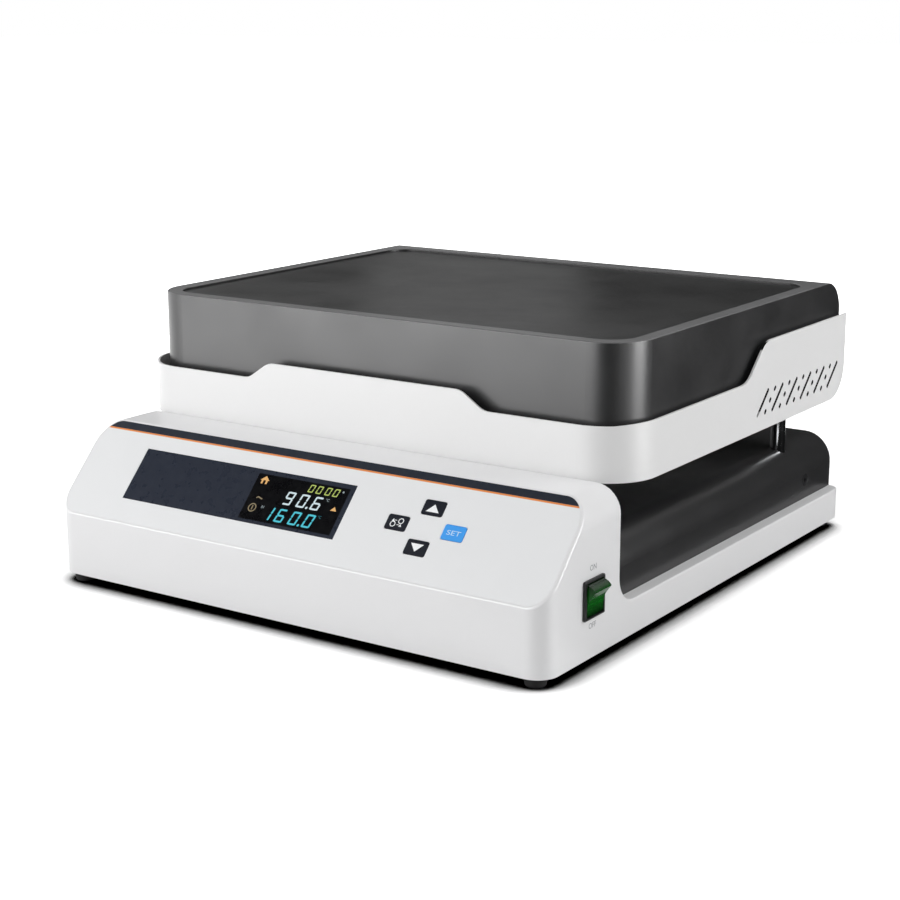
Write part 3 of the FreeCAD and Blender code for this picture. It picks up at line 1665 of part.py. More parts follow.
def front_step_cutter():
    """What is above the stepped top edge of the shield's front, through both its sheets."""
    low = shield_low_z
    middle = low + shield_middle_rise
    side = low + shield_corner_rise
    wide = plate_width
    inner = shield_middle_half_width
    outer = inner + shield_front_ramp
    corner = plate_width / 2 + shield_gap
    y = plate_front_y - shield_front_extra_gap - shield_offset - 1
    right = [(inner, middle), (outer, low), (corner - shield_corner_run, low)]
    right += [(corner, side), (wide, side)]
    points = [(-x, z) for x, z in reversed(right)] + right

    def to_point(x, z):
        return vec(x, y, z)

    edges = stepped_outline(points, shield_front_step_radius, to_point)
    closing = [points[-1], (wide, plate_top), (-wide, plate_top), points[0]]
    edges += Part.makePolygon([to_point(*place) for place in closing]).Edges
    depth = plate_front_y + plate_corner_radius - y
    return Part.Face(Part.Wire(edges)).extrude(Y_AXIS * depth)


def side_step_cutter():
    """What is above the stepped top edge of the shield's sides."""
    low = shield_low_z + shield_corner_rise
    high = shield_low_z + shield_rear_rise
    start = plate_front_y + shield_side_ramp_start
    far = plate_rear_y + shield_gap
    near = plate_front_y + plate_corner_radius
    points = [(near, low), (start, low), (start + shield_side_ramp, high), (far, high)]
    x = -plate_width

    def to_point(y, z):
        return vec(x, y, z)

    edges = stepped_outline(points, shield_side_step_radius, to_point)
    closing = [points[-1], (far, plate_top), (near, plate_top), points[0]]
    edges += Part.makePolygon([to_point(*place) for place in closing]).Edges
    return Part.Face(Part.Wire(edges)).extrude(X_AXIS * 2 * plate_width)


def rear_corner_cutter():
    """Rounds the lower rear corner of both sides of the shield."""
    radius = shield_rear_corner_radius
    rear = plate_rear_y - shield_rear_shortfall
    wide = plate_width
    high = shield_bottom + radius
    corner = box((-wide, rear - radius, shield_bottom - 1), (wide, rear + 1, high))
    round_part = rod(radius, vec(-wide, rear - radius, high), X_AXIS, 2 * wide)
    return corner.cut(round_part)


def slanted_slot(y, z, length):
    """A round-ended slot through both sides of the shield that leans to the rear."""
    angle = math.degrees(math.atan2(vent_rise, vent_run))
    wide = plate_width
    half = vent_width / 2
    slot = rounded_block(-half, half, 0, length, -wide, wide, half - round_end_shortfall)
    slot.rotate(vec(0, 0, 0), Y_AXIS, 90)
    slot.rotate(vec(0, 0, 0), X_AXIS, angle)
    slot.translate(vec(0, y, z))
    return slot


def vent_slots():
    """Long slots with a column of short dashes between each two."""
    length = math.hypot(vent_rise, vent_run) + vent_width / 2
    slots = []
    first_y = plate_rear_y - vent_first_from_rear
    low = shield_bottom + vent_bottom_height
    for step in range(vent_count):
        y = first_y + step * vent_pitch
        slots.append(slanted_slot(y, low, length))
        if step == vent_count - 1:
            continue
        for row in range(vent_dash_rows):
            share = row / (vent_dash_rows - 1)
            rise = (vent_rise - vent_dash_length / 2) * share
            run = vent_pitch / 2 + rise * vent_run / vent_rise
            slots.append(slanted_slot(y + run, low + rise, vent_dash_length))
    return slots


def shield_screw_places():
    x = plate_width / 2 - shield_flange / 2
    first = plate_front_y + plate_corner_radius + shield_flange
    last = plate_rear_y - shield_rear_corner_radius - shield_flange
    places = []
    for side in (-1, 1):
        for step in range(3):
            places.append((side * x, first + step * (last - first) / 2))
    return places


def heat_shield():
    inside = shield_wall(shield_gap).translated(vec(0, 0, shield_sheet))
    wall = shield_wall(shield_offset).cut(inside)
    rear = plate_rear_y - shield_rear_shortfall
    # The flange turns inwards under the pan, so the floor is cut away inside it.
    half = plate_width / 2 - shield_flange
    wall = wall.cut(rounded_block(
        -half, half, plate_front_y + shield_flange, rear + 5,
        shield_bottom - 1, shield_bottom + 2 * shield_sheet,
        plate_corner_radius - shield_flange / 2, 0,
    ))
    inside_half = plate_width / 2 + shield_gap
    wall = wall.cut(box(
        (-inside_half, rear - shield_gap, shield_bottom + shield_sheet),
        (inside_half, rear + 1, plate_top),
    ))
    wall = wall.cut(front_step_cutter()).cut(side_step_cutter()).cut(rear_corner_cutter())
    wall = wall.cut(group(vent_slots()))
    holes = []
    for x, y in shield_screw_places():
        holes.append(rod(screw_hole_radius, vec(x, y, shield_bottom), Z_AXIS, shield_sheet))
    return wall.cut(group(holes))


def shield_screws():
    screws = []
    for x, y in shield_screw_places():
        head = rod(screw_m3, vec(x, y, shield_bottom - screw_m3 / 2), Z_AXIS, screw_m3 / 2)
        shank = rod(screw_m3 / 2, vec(x, y, shield_bottom), Z_AXIS, shield_sheet + 2 * screw_m3)
        screws.append(merge([head, shank]))
    return group(screws)


def all_nodes():
    nodes = {
        "graphite_plate": graphite_plate(),
        "heat_shield": heat_shield(),
        "shield_screws": shield_screws(),
        "head_pan": head_pan(),
        "insulation_board": insulation_board(),
        "clamp_plate": clamp_plate(),
        "heater_left": heating_element(-1),
        "heater_right": heating_element(1),
        "temperature_probe": temperature_probe(),
        "overheat_cutout": overheat_cutout(),
        "plate_bolts": plate_bolts(),
        "head_nuts": head_nuts(),
        "base_nuts": base_nuts(),
        "console_housing": console_housing(),
        "panel_overlay": panel_overlay(),
        "display_window": display_window(),
        "display_module": display_module(),
        "key_board": key_board(),
        "tact_switches": tact_switches(),
        "panel_studs": panel_studs(),
        "panel_screws": panel_screws(),
        "switch_body": switch_body(),
        "power_rocker": power_rocker(),
        "base_plate": base_plate(),
        "base_screws": base_screws(),
        "foot_screws": foot_screws(),
        "rear_cover": rear_cover(),
        "cover_screws": cover_screws(),
        "rear_panel": rear_panel(),
        "power_inlet": power_inlet(),
        "inlet_screws": inlet_screws(),
        "fuse_holder": fuse_holder(),
        "heat_sink": heat_sink(),
        "solid_state_relay": solid_state_relay(),
        "transformer": transformer(),
        "control_board": control_board(),
        "board_spacers": board_spacers(),
        "board_screws": board_screws(),
        "terminal_block": terminal_block(),
        "earth_stud": earth_stud(),
    }
    pillar_names = ("front_left", "front_right", "rear_left", "rear_right")
    for name, shape in zip(pillar_names, pillars()):
        nodes["pillar_" + name] = shape
    for name, place in feet_places().items():
        nodes[name] = foot(place)
    for name, place in key_places().items():
        nodes[name] = key(place)
    return nodes


def main():
    os.makedirs("parts", exist_ok=True)
    for name, shape in all_nodes().items():
        shape.exportStep(os.path.join("parts", name + ".step"))
        solids = len(shape.Solids)
        print(name, "solids", solids, "volume", round(shape.Volume), "valid", shape.isValid())


main()
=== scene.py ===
"""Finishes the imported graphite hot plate: a material on every piece, the lit display, the marks on
the keys and beside the switch, and the studio that it is photographed in."""

import json
from collections import namedtuple
from math import pi, radians, sqrt, tan, tau

import bpy
from bpy.props import FloatProperty, FloatVectorProperty, PointerProperty
from mathutils import Matrix, Vector


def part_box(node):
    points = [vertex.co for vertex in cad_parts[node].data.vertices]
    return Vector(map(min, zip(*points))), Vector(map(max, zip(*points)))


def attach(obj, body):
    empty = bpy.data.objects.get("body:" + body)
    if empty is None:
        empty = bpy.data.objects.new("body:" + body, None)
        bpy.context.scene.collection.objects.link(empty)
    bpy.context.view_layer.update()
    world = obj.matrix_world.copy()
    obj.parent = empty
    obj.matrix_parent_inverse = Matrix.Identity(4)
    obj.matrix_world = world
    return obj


bl_info = {
    "name": "Graphite hot plate",
    "version": (1, 0, 0),
    "blender": (4, 5, 0),
    "location": "View3D > Sidebar > Hot plate",
    "description": "Finishes, lit display, key marks and studio for a graphite hot plate",
    "category": "Object",
}

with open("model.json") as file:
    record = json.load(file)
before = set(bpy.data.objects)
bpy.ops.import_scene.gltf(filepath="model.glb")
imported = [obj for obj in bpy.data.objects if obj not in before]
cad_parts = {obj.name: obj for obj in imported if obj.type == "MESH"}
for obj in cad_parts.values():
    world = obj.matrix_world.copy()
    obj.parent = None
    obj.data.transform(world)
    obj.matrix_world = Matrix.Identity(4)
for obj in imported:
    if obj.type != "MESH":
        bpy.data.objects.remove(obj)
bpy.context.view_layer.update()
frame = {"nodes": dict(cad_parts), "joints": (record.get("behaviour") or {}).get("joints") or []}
nodes = frame["nodes"]

MM = 0.001
X_AXIS, Y_AXIS, Z_AXIS = Vector((1, 0, 0)), Vector((0, 1, 0)), Vector((0, 0, 1))
WHITE = (1, 1, 1, 1)

# The part of the shield's sides that holds the vent slots, whose walls there get painted shade, its
# depth and its borders' softness
VENTS_FROM = 60 * MM
VENTS_LOW = 112 * MM
VENTS_TOP = 170 * MM
VENTS_EDGE = 1 * MM
VENTS_DEPTH = 3 * MM

RECESS_DEPTH = 2 * MM
BOARD_THICKNESS = 1.6 * MM

# Where most of a noise's values lie, and the smoothest that a finish gets
NOISE_LOW, NOISE_HIGH = 0.3, 0.7
SMOOTHEST = 0.02

# The slanted panel: the keys' joints give the way in, and so the panel's own axes.
key_joint = next(joint for joint in frame["joints"] if joint["name"] == "key_up_press")
PANEL_OUT = -Vector(key_joint["axis"]).normalized()
PANEL_UP = PANEL_OUT.cross(X_AXIS)

# How much of a lit figure's colour shows in plain light, and how brightly each kind glows
UNLIT_SHARE = 0.2
FIGURE_GLOW = 0.75
DIM_GLOW = 0.7
MARK_GLOW = 0.3
FAINT_GLOW = 0.12

# The lit bars of a seven-bar figure, from a at the top round to f, with g across the middle
FIGURE_BARS = {
    "0": "abcdef",
    "1": "bc",
    "6": "acdefg",
    "9": "abcdfg",
}
LEVEL_BARS = "adg"

# The proportions of a seven-bar figure, as shares of its stroke, its pitch or its width
BAR_GAP = 0.16
DOT_RADIUS = 0.7
DOT_RISE = 0.6
SPACE_PITCH = 0.13
ONE_SHIFT = 0.12

# The rows of figures, in mm across the panel and up from the window's lower edge
Row = namedtuple("Row", "name text height width pitch stroke right low shade")
ROWS = (
    Row("digits_timer", "00 00", "timer_height", 4.1, 6.5, 0.75, 22.9, 29.9, "figures_timer"),
    Row("digits_measured", "90.6", "measured_height", 6.8, 11.65, 1.3, 13.6, 17.7,
        "figures_measured"),
    Row("digits_target", "160.0", "target_height", 6.8, 11.65, 1.3, 13.6, 4.3, "figures_target"),
)

# The middle of each sign of the display, in mm across the panel and up from the window's lower edge
SIGN_PLACES = {
    "sign_house": (-40.15, 33.05),
    "sign_wave": (-37.5, 18.9),
    "sign_clock": (-39.75, 11.5),
    "sign_running": (24.25, 21.3),
    "unit_measured": (16.3, 26.5),
    "unit_target": (16.3, 13.5),
    "sign_spot": (25.5, 34.3),
    "sign_step": (-31.4, 13.1),
}

# The keys' marks: the arrows' width and height, how far two marks lie under the middle, how wide
# the letters are drawn, and the places of the mode key's first square, arrow and link, in mm
KEY_ARROW = (9.9 * MM, 5.7 * MM)
MARK_DROP = 0.3 * MM
SET_STRETCH = 1.42
MODE_SQUARE = (2.7, 1.4, 0)
MODE_ARROW = (-3.3, 1.6, 0)
MODE_LINK = (-1.3, 1.5, 0)

# The floor: its width, its shade for light and for the eye, the contact shadow's reach and the
# openness that counts as dark and as free, and where it turns plain white
FLOOR_SIZE = 30
FLOOR_LIT = (0.8, 0.8, 0.8)
FLOOR_SEEN = (1.5, 1.5, 1.5)
CONTACT_REACH = 0.028
CONTACT_DARK, CONTACT_FREE = 0.42, 0.8
CONTACT_SAMPLES = 12
WHITE_FROM, WHITE_TO = 0.55, 1.1

# Between these heights of the sky, as sines, the room grows bright
ROOM_LOW, ROOM_HIGH = 0.1, 0.5

SENSOR_WIDTH = 36

# Lamps and cards, in metres and degrees: the large lamps light things, all others show in gloss
Lamp = namedtuple("Lamp", "name place aim width height power")
LARGE_LAMPS = (
    Lamp("key_lamp", (-1.25, -1.8, 1.1), (0, -0.05, 0.1), 1.6, 1.6, "key_power"),
    Lamp("top_lamp", (0.1, -0.1, 2.0), (0, 0, 0.1), 1.8, 1.8, "top_power"),
    Lamp("side_lamp", (1.75, 1.0, 0.9), (0.2, 0, 0.1), 1.4, 1.4, "side_power"),
)
BAND_LAMPS = (
    Lamp("band_lamp_left", (-0.33, -0.90, 0.22), (0, -0.12, 0.17), 1.1, 0.55, "band_power"),
    Lamp("band_lamp_right", (0.95, 0.10, 0.25), (0.2, -0.08, 0.16), 0.45, 0.6, "band_power"),
)
Card = namedtuple("Card", "name place size turn")
CARDS = (
    Card("grey_card", (-0.62, 0.94, 0.34), (0.34, 0.5), (90, 0, 0)),
    Card("ceiling_card", (0.0, -0.75, 1.3), (4.4, 3.3), (0, 0, 0)),
    Card("rear_card", (-0.05, 0.95, 0.34), (2.7, 0.68), (90, 0, 0)),
    Card("rear_floor_card", (0.79, 0.40, 0.001), (1.18, 1.1), (0, 0, 0)),
    Card("camera_card", (0.62, -0.95, 0.001), (0.9, 1.6), (0, 0, 27)),
    Card("front_card", (1.0, -1.6, 0.5), (1.3, 1.0), (90, 0, 30)),
)
CARD_SHADE = (0.01, 0.01, 0.01, 1)
GREY_CARD_GLOW = 0.23


def paint(red, green, blue):
    """A colour given in screen values, 0 to 255, as the linear values that Blender works in."""
    def linear(value):
        share = value / 255
        return share / 12.92 if share <= 0.04045 else ((share + 0.055) / 1.055) ** 2.4
    return (linear(red), linear(green), linear(blue))


def kind_of(maker, **settings):
    """A short way to one kind of property: its name, its description and its value."""
    return lambda name, description, default: maker(
        name=name, description=description, default=default, **settings
    )


place = kind_of(FloatVectorProperty, subtype="TRANSLATION", unit="LENGTH", size=3)
length = kind_of(FloatProperty, subtype="DISTANCE", unit="LENGTH")
angle = kind_of(FloatProperty, subtype="ANGLE", unit="ROTATION")
power = kind_of(FloatProperty, subtype="POWER", unit="POWER", min=0)
number = kind_of(FloatProperty, min=0)


def colour(name, description, *shade):
    """A colour property, from a shade given in screen values."""
    maker = kind_of(FloatVectorProperty, subtype="COLOR", size=3, min=0, max=1)
    return maker(name, description, paint(*shade))


class HotplateColours(bpy.types.PropertyGroup):
    """The colours of the hot plate's finishes."""

    graphite: colour("Graphite", "Sides of the heated block", 40, 40, 41)
    # The rim's colour is also put on the block's rounded top edges, as a painted highlight
    graphite_rim_and_edge_highlight: colour("Graphite rim", "Machined rim round the recess", 104, 104, 105)
    graphite_recess: colour("Graphite recess", "Floor of the recess", 20, 20, 21)
    enamel: colour("White enamel", "Heat shield", 236, 236, 236)
    housing: colour("Housing", "White console and rails", 236, 236, 237)
    cover: colour("Black enamel", "Cover over the rear of the base", 39, 39, 40)
    film: colour("Panel film", "Pale ground of the printed film", 238, 239, 240)
    stripe: colour("Stripe", "Dark stripe along the top of the film", 34, 40, 52)
    line: colour("Line", "Thin orange line under the stripe", 236, 140, 62)
    window: colour("Window", "Navy print of the display window", 43, 48, 60)
    screen: colour("Screen", "Unlit display", 4, 4, 7)
    figures_timer: colour("Timer figures", "Upper row of the display", 190, 208, 112)
    figures_measured: colour("Measured figures", "Middle row of the display", 214, 232, 238)
    figures_target: colour("Target figures", "Lower row of the display", 84, 204, 222)
    figures_sign: colour("Signs", "Small orange signs of the display", 236, 184, 118)
    figures_dim: colour("Dim signs", "Signs that are lit faintly", 150, 136, 108)
    key_dark: colour("Dark keys", "Up, down and mode keys", 26, 29, 39)
    key_blue: colour("Blue key", "Set key", 63, 164, 250)
    key_mark: colour("Key marks", "Printing on the keys", 248, 250, 252)
    set_mark: colour("Set letters", "Printing on the blue key", 200, 230, 252)
    lettering: colour("Lettering", "Printing beside the switch", 150, 152, 155)
    rocker: colour("Rocker", "Green rocker", 16, 92, 24)
    plastic: colour("Black plastic", "Switch bezel, inlet and fuse holder", 20, 21, 22)
    rubber: colour("Rubber", "Feet", 26, 26, 27)
    chrome: colour("Chrome", "Pillars", 196, 198, 200)
    steel: colour("Steel", "Sheet steel under the block", 172, 173, 174)
    zinc: colour("Zinc", "Plated screws and nuts", 188, 190, 194)
    sheath: colour("Sheath", "Heating elements and probe", 98, 92, 88)
    fibre: colour("Fibre board", "Insulation under the heaters", 222, 216, 204)
    aluminium: colour("Aluminium", "Heat sink", 150, 152, 155)
    circuit: colour("Circuit board", "Solder mask", 18, 84, 52)
    copper: colour("Copper", "Tracks", 172, 104, 58)
    relay: colour("Relay", "Case of the solid state relay", 196, 194, 186)
    sheets: colour("Laminations", "Varnished sheets of the transformer", 52, 50, 50)
    sheet_edges: colour("Lamination edges", "Bare edges between them", 96, 92, 88)
    galvanised: colour("Galvanised sheet", "Base plate", 168, 172, 176)


class HotplateSizes(bpy.types.PropertyGroup):
    """The sizes of what is printed or lit."""

    print_height: length("Print height", "How proud printing and lit figures stand", 0.06 * MM)
    stripe_height: length("Stripe height", "Dark stripe, down from the film's top edge", 5.8 * MM)
    line_height: length("Line height", "Orange line under the stripe", 1.2 * MM)
    screen_left: length("Screen left", "Screen's left edge, across the panel", -47.2 * MM)
    screen_right: length("Screen right", "Screen's right edge, across the panel", 30.0 * MM)
    screen_low: length("Screen low", "Screen's lower edge, up from the window's", 2.4 * MM)
    screen_high: length("Screen high", "Screen's upper edge, up from the window's", 37.4 * MM)
    figure_slant: angle("Figure slant", "Lean of the figures to the right", radians(10))
    timer_height: length("Timer figures", "Height of the upper row", 5.9 * MM)
    measured_height: length("Measured figures", "Height of the middle row", 10.2 * MM)
    target_height: length("Target figures", "Height of the lower row", 10.2 * MM)
    set_height: length("Set letters", "Height of the word on the set key", 4.8 * MM)
    switch_letter_height: length("Switch letters", "Height of ON and OFF", 5.2 * MM)
    on_gap: length("ON gap", "From the bezel up to the middle of ON", 6.6 * MM)
    off_gap: length("OFF gap", "From the bezel down to the middle of OFF", 5.28 * MM)
    grain: length("Graphite grain", "Size of the block's grain", 0.5 * MM)


class HotplateStudio(bpy.types.PropertyGroup):
    """The camera and the lamps."""

    camera_place: place("Camera", "Where the camera stands", (0.73815, -1.11384, 0.40407))
    camera_turn: angle("Camera turn", "Turn of the view to the left", radians(34.135))
    camera_dip: angle("Camera dip", "How far the view looks down", radians(13.722))
    camera_roll: angle("Camera roll", "Turn of the camera on its own axis", radians(0.05))
    camera_lens: number("Lens", "Focal length in mm, on a 36 mm sensor", 73.81)
    key_power: power("Key lamp", "Large soft lamp at the front left", 24.0)
    top_power: power("Top lamp", "Large soft lamp overhead", 3.0)
    side_power: power("Side lamp", "Soft lamp at the right", 19.0)
    band_power: power("Band lamps", "Low lamps that only show in gloss", 11.5)
    room_light: number("Room light", "Even light from all round", 0.64)


# Selecting, joining and placing


def select_only(*pieces):
    bpy.ops.object.select_all(action="DESELECT")
    for piece in pieces:
        piece.select_set(True)
    bpy.context.view_layer.objects.active = pieces[0]


def edit(piece, choose=None):
    """Opens a piece in edit mode with the vertices that choose picks selected, or all of them."""
    select_only(piece)
    bpy.ops.object.mode_set(mode="EDIT")
    bpy.ops.mesh.select_mode(type="VERT")
    bpy.ops.mesh.select_all(action="DESELECT" if choose else "SELECT")
    if choose:
        bpy.ops.object.mode_set(mode="OBJECT")
        for vertex in piece.data.vertices:
            vertex.select = choose(vertex.co)
        bpy.ops.object.mode_set(mode="EDIT")


def stop_editing():
    bpy.ops.object.mode_set(mode="OBJECT")


def thicken(piece):
    """Raises a flat piece into a thin closed plate."""
    edit(piece)
    rise = (0, 0, sizes().print_height)
    bpy.ops.mesh.extrude_region_move(TRANSFORM_OT_translate={"value": rise})
    bpy.ops.mesh.select_all(action="SELECT")
    bpy.ops.mesh.normals_make_consistent(inside=False)
    stop_editing()
    return piece


def copy_of(piece):
    double = piece.copy()
    double.data = piece.data.copy()
    bpy.context.scene.collection.objects.link(double)
    return double


def join(name, pieces):
    select_only(*pieces)
    if len(pieces) > 1:
        bpy.ops.object.join()
    pieces[0].name = name
    pieces[0].data.name = name
    return pieces[0]


def settle(piece, matrix):
    """Puts a piece where matrix says and leaves that place in its mesh."""
    piece.matrix_world = matrix @ piece.matrix_world
    select_only(piece)
    bpy.ops.object.transform_apply(location=True, rotation=True, scale=True)
    return piece


def sizes():
    return bpy.context.scene.hotplate_sizes


def colours():
    return bpy.context.scene.hotplate_colours


def studio():
    return bpy.context.scene.hotplate_studio


def finish_piece(piece, body, material):
    piece.data.materials.clear()
    piece.data.materials.append(material)
    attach(piece, body)
    return piece


def corner_of(node):
    """The lower left corner of a panel node's outer face, and its width and height up the slope."""
    points = [vertex.co for vertex in nodes[node].data.vertices]
    across = [point.x for point in points]
    up = [point.dot(PANEL_UP) for point in points]
    out = max(point.dot(PANEL_OUT) for point in points)
    corner = X_AXIS * min(across) + PANEL_UP * min(up) + PANEL_OUT * out
    return corner, max(across) - min(across), max(up) - min(up)


def on_panel(point):
    """The matrix that lays a flat piece on the slanted panel with its origin at point."""
    turn = Matrix((X_AXIS, PANEL_UP, PANEL_OUT)).transposed().to_4x4()
    return Matrix.Translation(point) @ turn


def on_right_side(point):
    """The matrix that stands a flat piece on the right side, to be read from there."""
    turn = Matrix(((0, 0, 1, 0), (1, 0, 0, 0), (0, 1, 0, 0), (0, 0, 0, 1)))
    return Matrix.Translation(point) @ turn


# Material nodes


class Nodes:
    """Short words for the nodes of a material or of the world."""

    def __init__(self, tree):
        self.tree = tree

    def node(self, kind, **settings):
        made = self.tree.nodes.new(f"ShaderNode{kind}")
        for name, value in settings.items():
            setattr(made, name, value)
        return made

    def feed(self, socket, source):
        """Links source to socket, or sets it where source is a plain value."""
        if isinstance(source, bpy.types.NodeSocket):
            self.tree.links.new(source, socket)
        else:
            socket.default_value = source

    def feed_all(self, node, *sources):
        """Feeds the first sockets of a node."""
        for socket, source in zip(node.inputs, sources):
            self.feed(socket, source)
        return node.outputs[0]

    def remap(self, value, low, high, to_low=0.0, to_high=1.0):
        """Spreads low to high over to_low to to_high, and holds the ends beyond."""
        return self.feed_all(self.node("MapRange"), value, low, high, to_low, to_high)

    def maths(self, operation, *values):
        return self.feed_all(self.node("Math", operation=operation), *values)

    def product(self, first, *others):
        for other in others:
            first = self.maths("MULTIPLY", first, other)
        return first

    def component(self, vector, axis):
        split = self.node("SeparateXYZ")
        self.feed(split.inputs[0], vector)
        return split.outputs[axis]

    def seen(self):
        """1 for rays that the camera, a mirror or glass sends, 0 for light that falls on things."""
        path = self.node("LightPath")
        total = path.outputs["Is Camera Ray"]
        for kind in ("Is Glossy Ray", "Is Transmission Ray"):
            total = self.maths("MAXIMUM", total, path.outputs[kind])
        return total


class Finish(Nodes):
    """A material in the making, round its Principled shader."""

    def __init__(self, name, metallic=0.0, specular=0.5, coat=0.0, coat_roughness=0.1):
        self.material = bpy.data.materials.new(name)
        self.material.use_nodes = True
        super().__init__(self.material.node_tree)
        self.shader = self.tree.nodes["Principled BSDF"]
        self.fix("Metallic", metallic).fix("Specular IOR Level", specular)
        self.fix("Coat Weight", coat).fix("Coat Roughness", coat_roughness)
        self.place = self.node("TexCoord").outputs["Object"]

    def fix(self, socket, source):
        self.feed(self.shader.inputs[socket], source)
        return self

    def stretched(self, scale):
        mapping = self.node("Mapping")
        self.feed(mapping.inputs["Vector"], self.place)
        self.feed(mapping.inputs["Scale"], scale)
        return mapping.outputs["Vector"]

    def noise(self, size, detail=3.0, place=None, roughness=0.5):
        """Noise from 0 to 1 whose marks are about size across, in metres."""
        texture = self.node("TexNoise")
        self.feed(texture.inputs["Vector"], place or self.place)
        self.feed(texture.inputs["Scale"], 1 / size)
        self.feed(texture.inputs["Detail"], detail)
        self.feed(texture.inputs["Roughness"], roughness)
        return texture.outputs["Fac"]

    def cells(self, size, feature="F1"):
        texture = self.node("TexVoronoi", feature=feature)
        self.feed(texture.inputs["Vector"], self.place)
        self.feed(texture.inputs["Scale"], 1 / size)
        return texture.outputs["Distance"]

    def along(self, direction):
        """How far a point lies along a direction, in metres."""
        dot = self.node("VectorMath", operation="DOT_PRODUCT")
        self.feed(dot.inputs[0], self.place)
        self.feed(dot.inputs[1], direction)
        return dot.outputs["Value"]

    def facing(self, axis):
        """How far a face points along an axis, from -1 to 1."""
        return self.component(self.node("NewGeometry").outputs["Normal"], axis)

    def between(self, value, low, high, soft):
        """1 where value lies between low and high, 0 outside, with an edge soft wide."""
        rise = self.remap(value, low - soft / 2, low + soft / 2)
        fall = self.remap(value, high - soft / 2, high + soft / 2, 1.0, 0.0)
        return self.product(rise, fall)

    def mix(self, factor, first, second):
        """First colour where factor is 0 and second where it is 1."""
        node = self.node("Mix", data_type="RGBA")
        self.feed(node.inputs["Factor"], factor)
        for socket, value in ((node.inputs[6], first), (node.inputs[7], second)):
            if not isinstance(value, bpy.types.NodeSocket):
                value = (*value, 1.0)
            self.feed(socket, value)
        return node.outputs[2]

    def mottled(self, value, spread, factor):
        """A colour that factor makes lighter and darker by spread."""
        dark = tuple(channel * (1 - spread) for channel in value)
        light = tuple(min(1.0, channel * (1 + spread)) for channel in value)
        return self.mix(factor, dark, light)

    def coloured(self, source):
        return self.fix("Base Color", source)

    def rough(self, value, spread, factor):
        """Roughness about value, which factor shifts by spread both ways."""
        low, high = max(SMOOTHEST, value - spread), min(1.0, value + spread)
        return self.fix("Roughness", self.remap(factor, NOISE_LOW, NOISE_HIGH, low, high))

    def marked(self, value, spread, roughness, uneven, factor):
        """One pattern in the colour and in the roughness."""
        return self.coloured(self.mottled(value, spread, factor)).rough(roughness, uneven, factor)

    def bumped(self, height, depth, strength=0.5):
        bump = self.node("Bump")
        self.feed(bump.inputs["Strength"], strength)
        self.feed(bump.inputs["Distance"], depth)
        self.feed(bump.inputs["Height"], height)
        return self.fix("Normal", bump.outputs["Normal"])


def dress(material, *names):
    for name in names:
        nodes[name].data.materials.clear()
        nodes[name].data.materials.append(material)


# Finishes


def graphite_finish():
    """Fine-grained machined graphite: satin sides, a lighter rim whose colour also runs onto the
    rounded top edges as a painted highlight, and a darker recess.
    """
    shades = colours()
    finish = Finish("graphite", specular=0.5)
    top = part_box("graphite_plate")[1].z
    recess = top - RECESS_DEPTH
    grain = finish.noise(sizes().grain, detail=4.0)
    height, upward = finish.along(Z_AXIS), finish.facing("Z")
    sides = finish.mottled(shades.graphite, 0.16, grain)
    floor = finish.mottled(shades.graphite_recess, 0.14, grain)
    rim = finish.mottled(shades.graphite_rim_and_edge_highlight, 0.10, grain)
    # The rim's colour also covers the rounded edges along the top, as a painted highlight line
    rim_and_edge_highlight = finish.product(
        finish.remap(height, top - 1.0 * MM, top - 0.6 * MM), finish.remap(upward, 0.1, 0.4)
    )
    on_floor = finish.product(
        finish.between(height, recess - 0.3 * MM, recess + 0.3 * MM, 0.2 * MM),
        finish.remap(upward, 0.8, 0.95),
    )
    finish.coloured(finish.mix(on_floor, finish.mix(rim_and_edge_highlight, sides, rim), floor))
    finish.rough(0.36, 0.05, finish.noise(60 * MM))
    return finish.bumped(grain, depth=0.02 * MM).material


def enamel_finish(name, value, roughness, coat=0.0, specular=0.35, peel=0.35, painted_slot_shade=None):
    """Baked enamel on sheet metal, with the faint orange peel that it dries to.

    A colour given last is painted on the walls of the vent slots, as painted shade inside the slots."""
    finish = Finish(name, specular=specular, coat=coat, coat_roughness=0.12)
    shade = finish.mottled(value, 0.012, finish.noise(90 * MM))
    if painted_slot_shade:
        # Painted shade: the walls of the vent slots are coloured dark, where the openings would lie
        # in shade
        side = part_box("heat_shield")[1].x - VENTS_DEPTH
        across = finish.maths("ABSOLUTE", finish.along(X_AXIS))
        back, up = finish.along(Y_AXIS), finish.along(Z_AXIS)
        slots = finish.product(
            finish.remap(finish.maths("ABSOLUTE", finish.facing("X")), 0.3, 0.5, 1.0, 0.0),
            finish.remap(across, side - VENTS_EDGE, side),
            finish.remap(back, VENTS_FROM - VENTS_EDGE, VENTS_FROM),
            finish.remap(up, VENTS_LOW - VENTS_EDGE, VENTS_LOW),
            finish.remap(up, VENTS_TOP, VENTS_TOP + VENTS_EDGE, 1.0, 0.0),
        )
        shade = finish.mix(slots, shade, painted_slot_shade)
    finish.coloured(shade)
    finish.rough(roughness, 0.03, finish.noise(25 * MM))
    finish.bumped(finish.noise(2.4 * MM, detail=2.0), depth=0.012 * MM, strength=peel)
    return finish.material


def moulded_finish(name, value, roughness, coat=0.0):
    """Moulded plastic with a fine spark texture."""
    finish = Finish(name, coat=coat, coat_roughness=0.15)
    finish.coloured(finish.mottled(value, 0.03, finish.noise(40 * MM)))
    finish.rough(roughness, 0.04, finish.noise(12 * MM))
    return finish.bumped(finish.noise(0.3 * MM, detail=2.0), depth=0.01 * MM).material


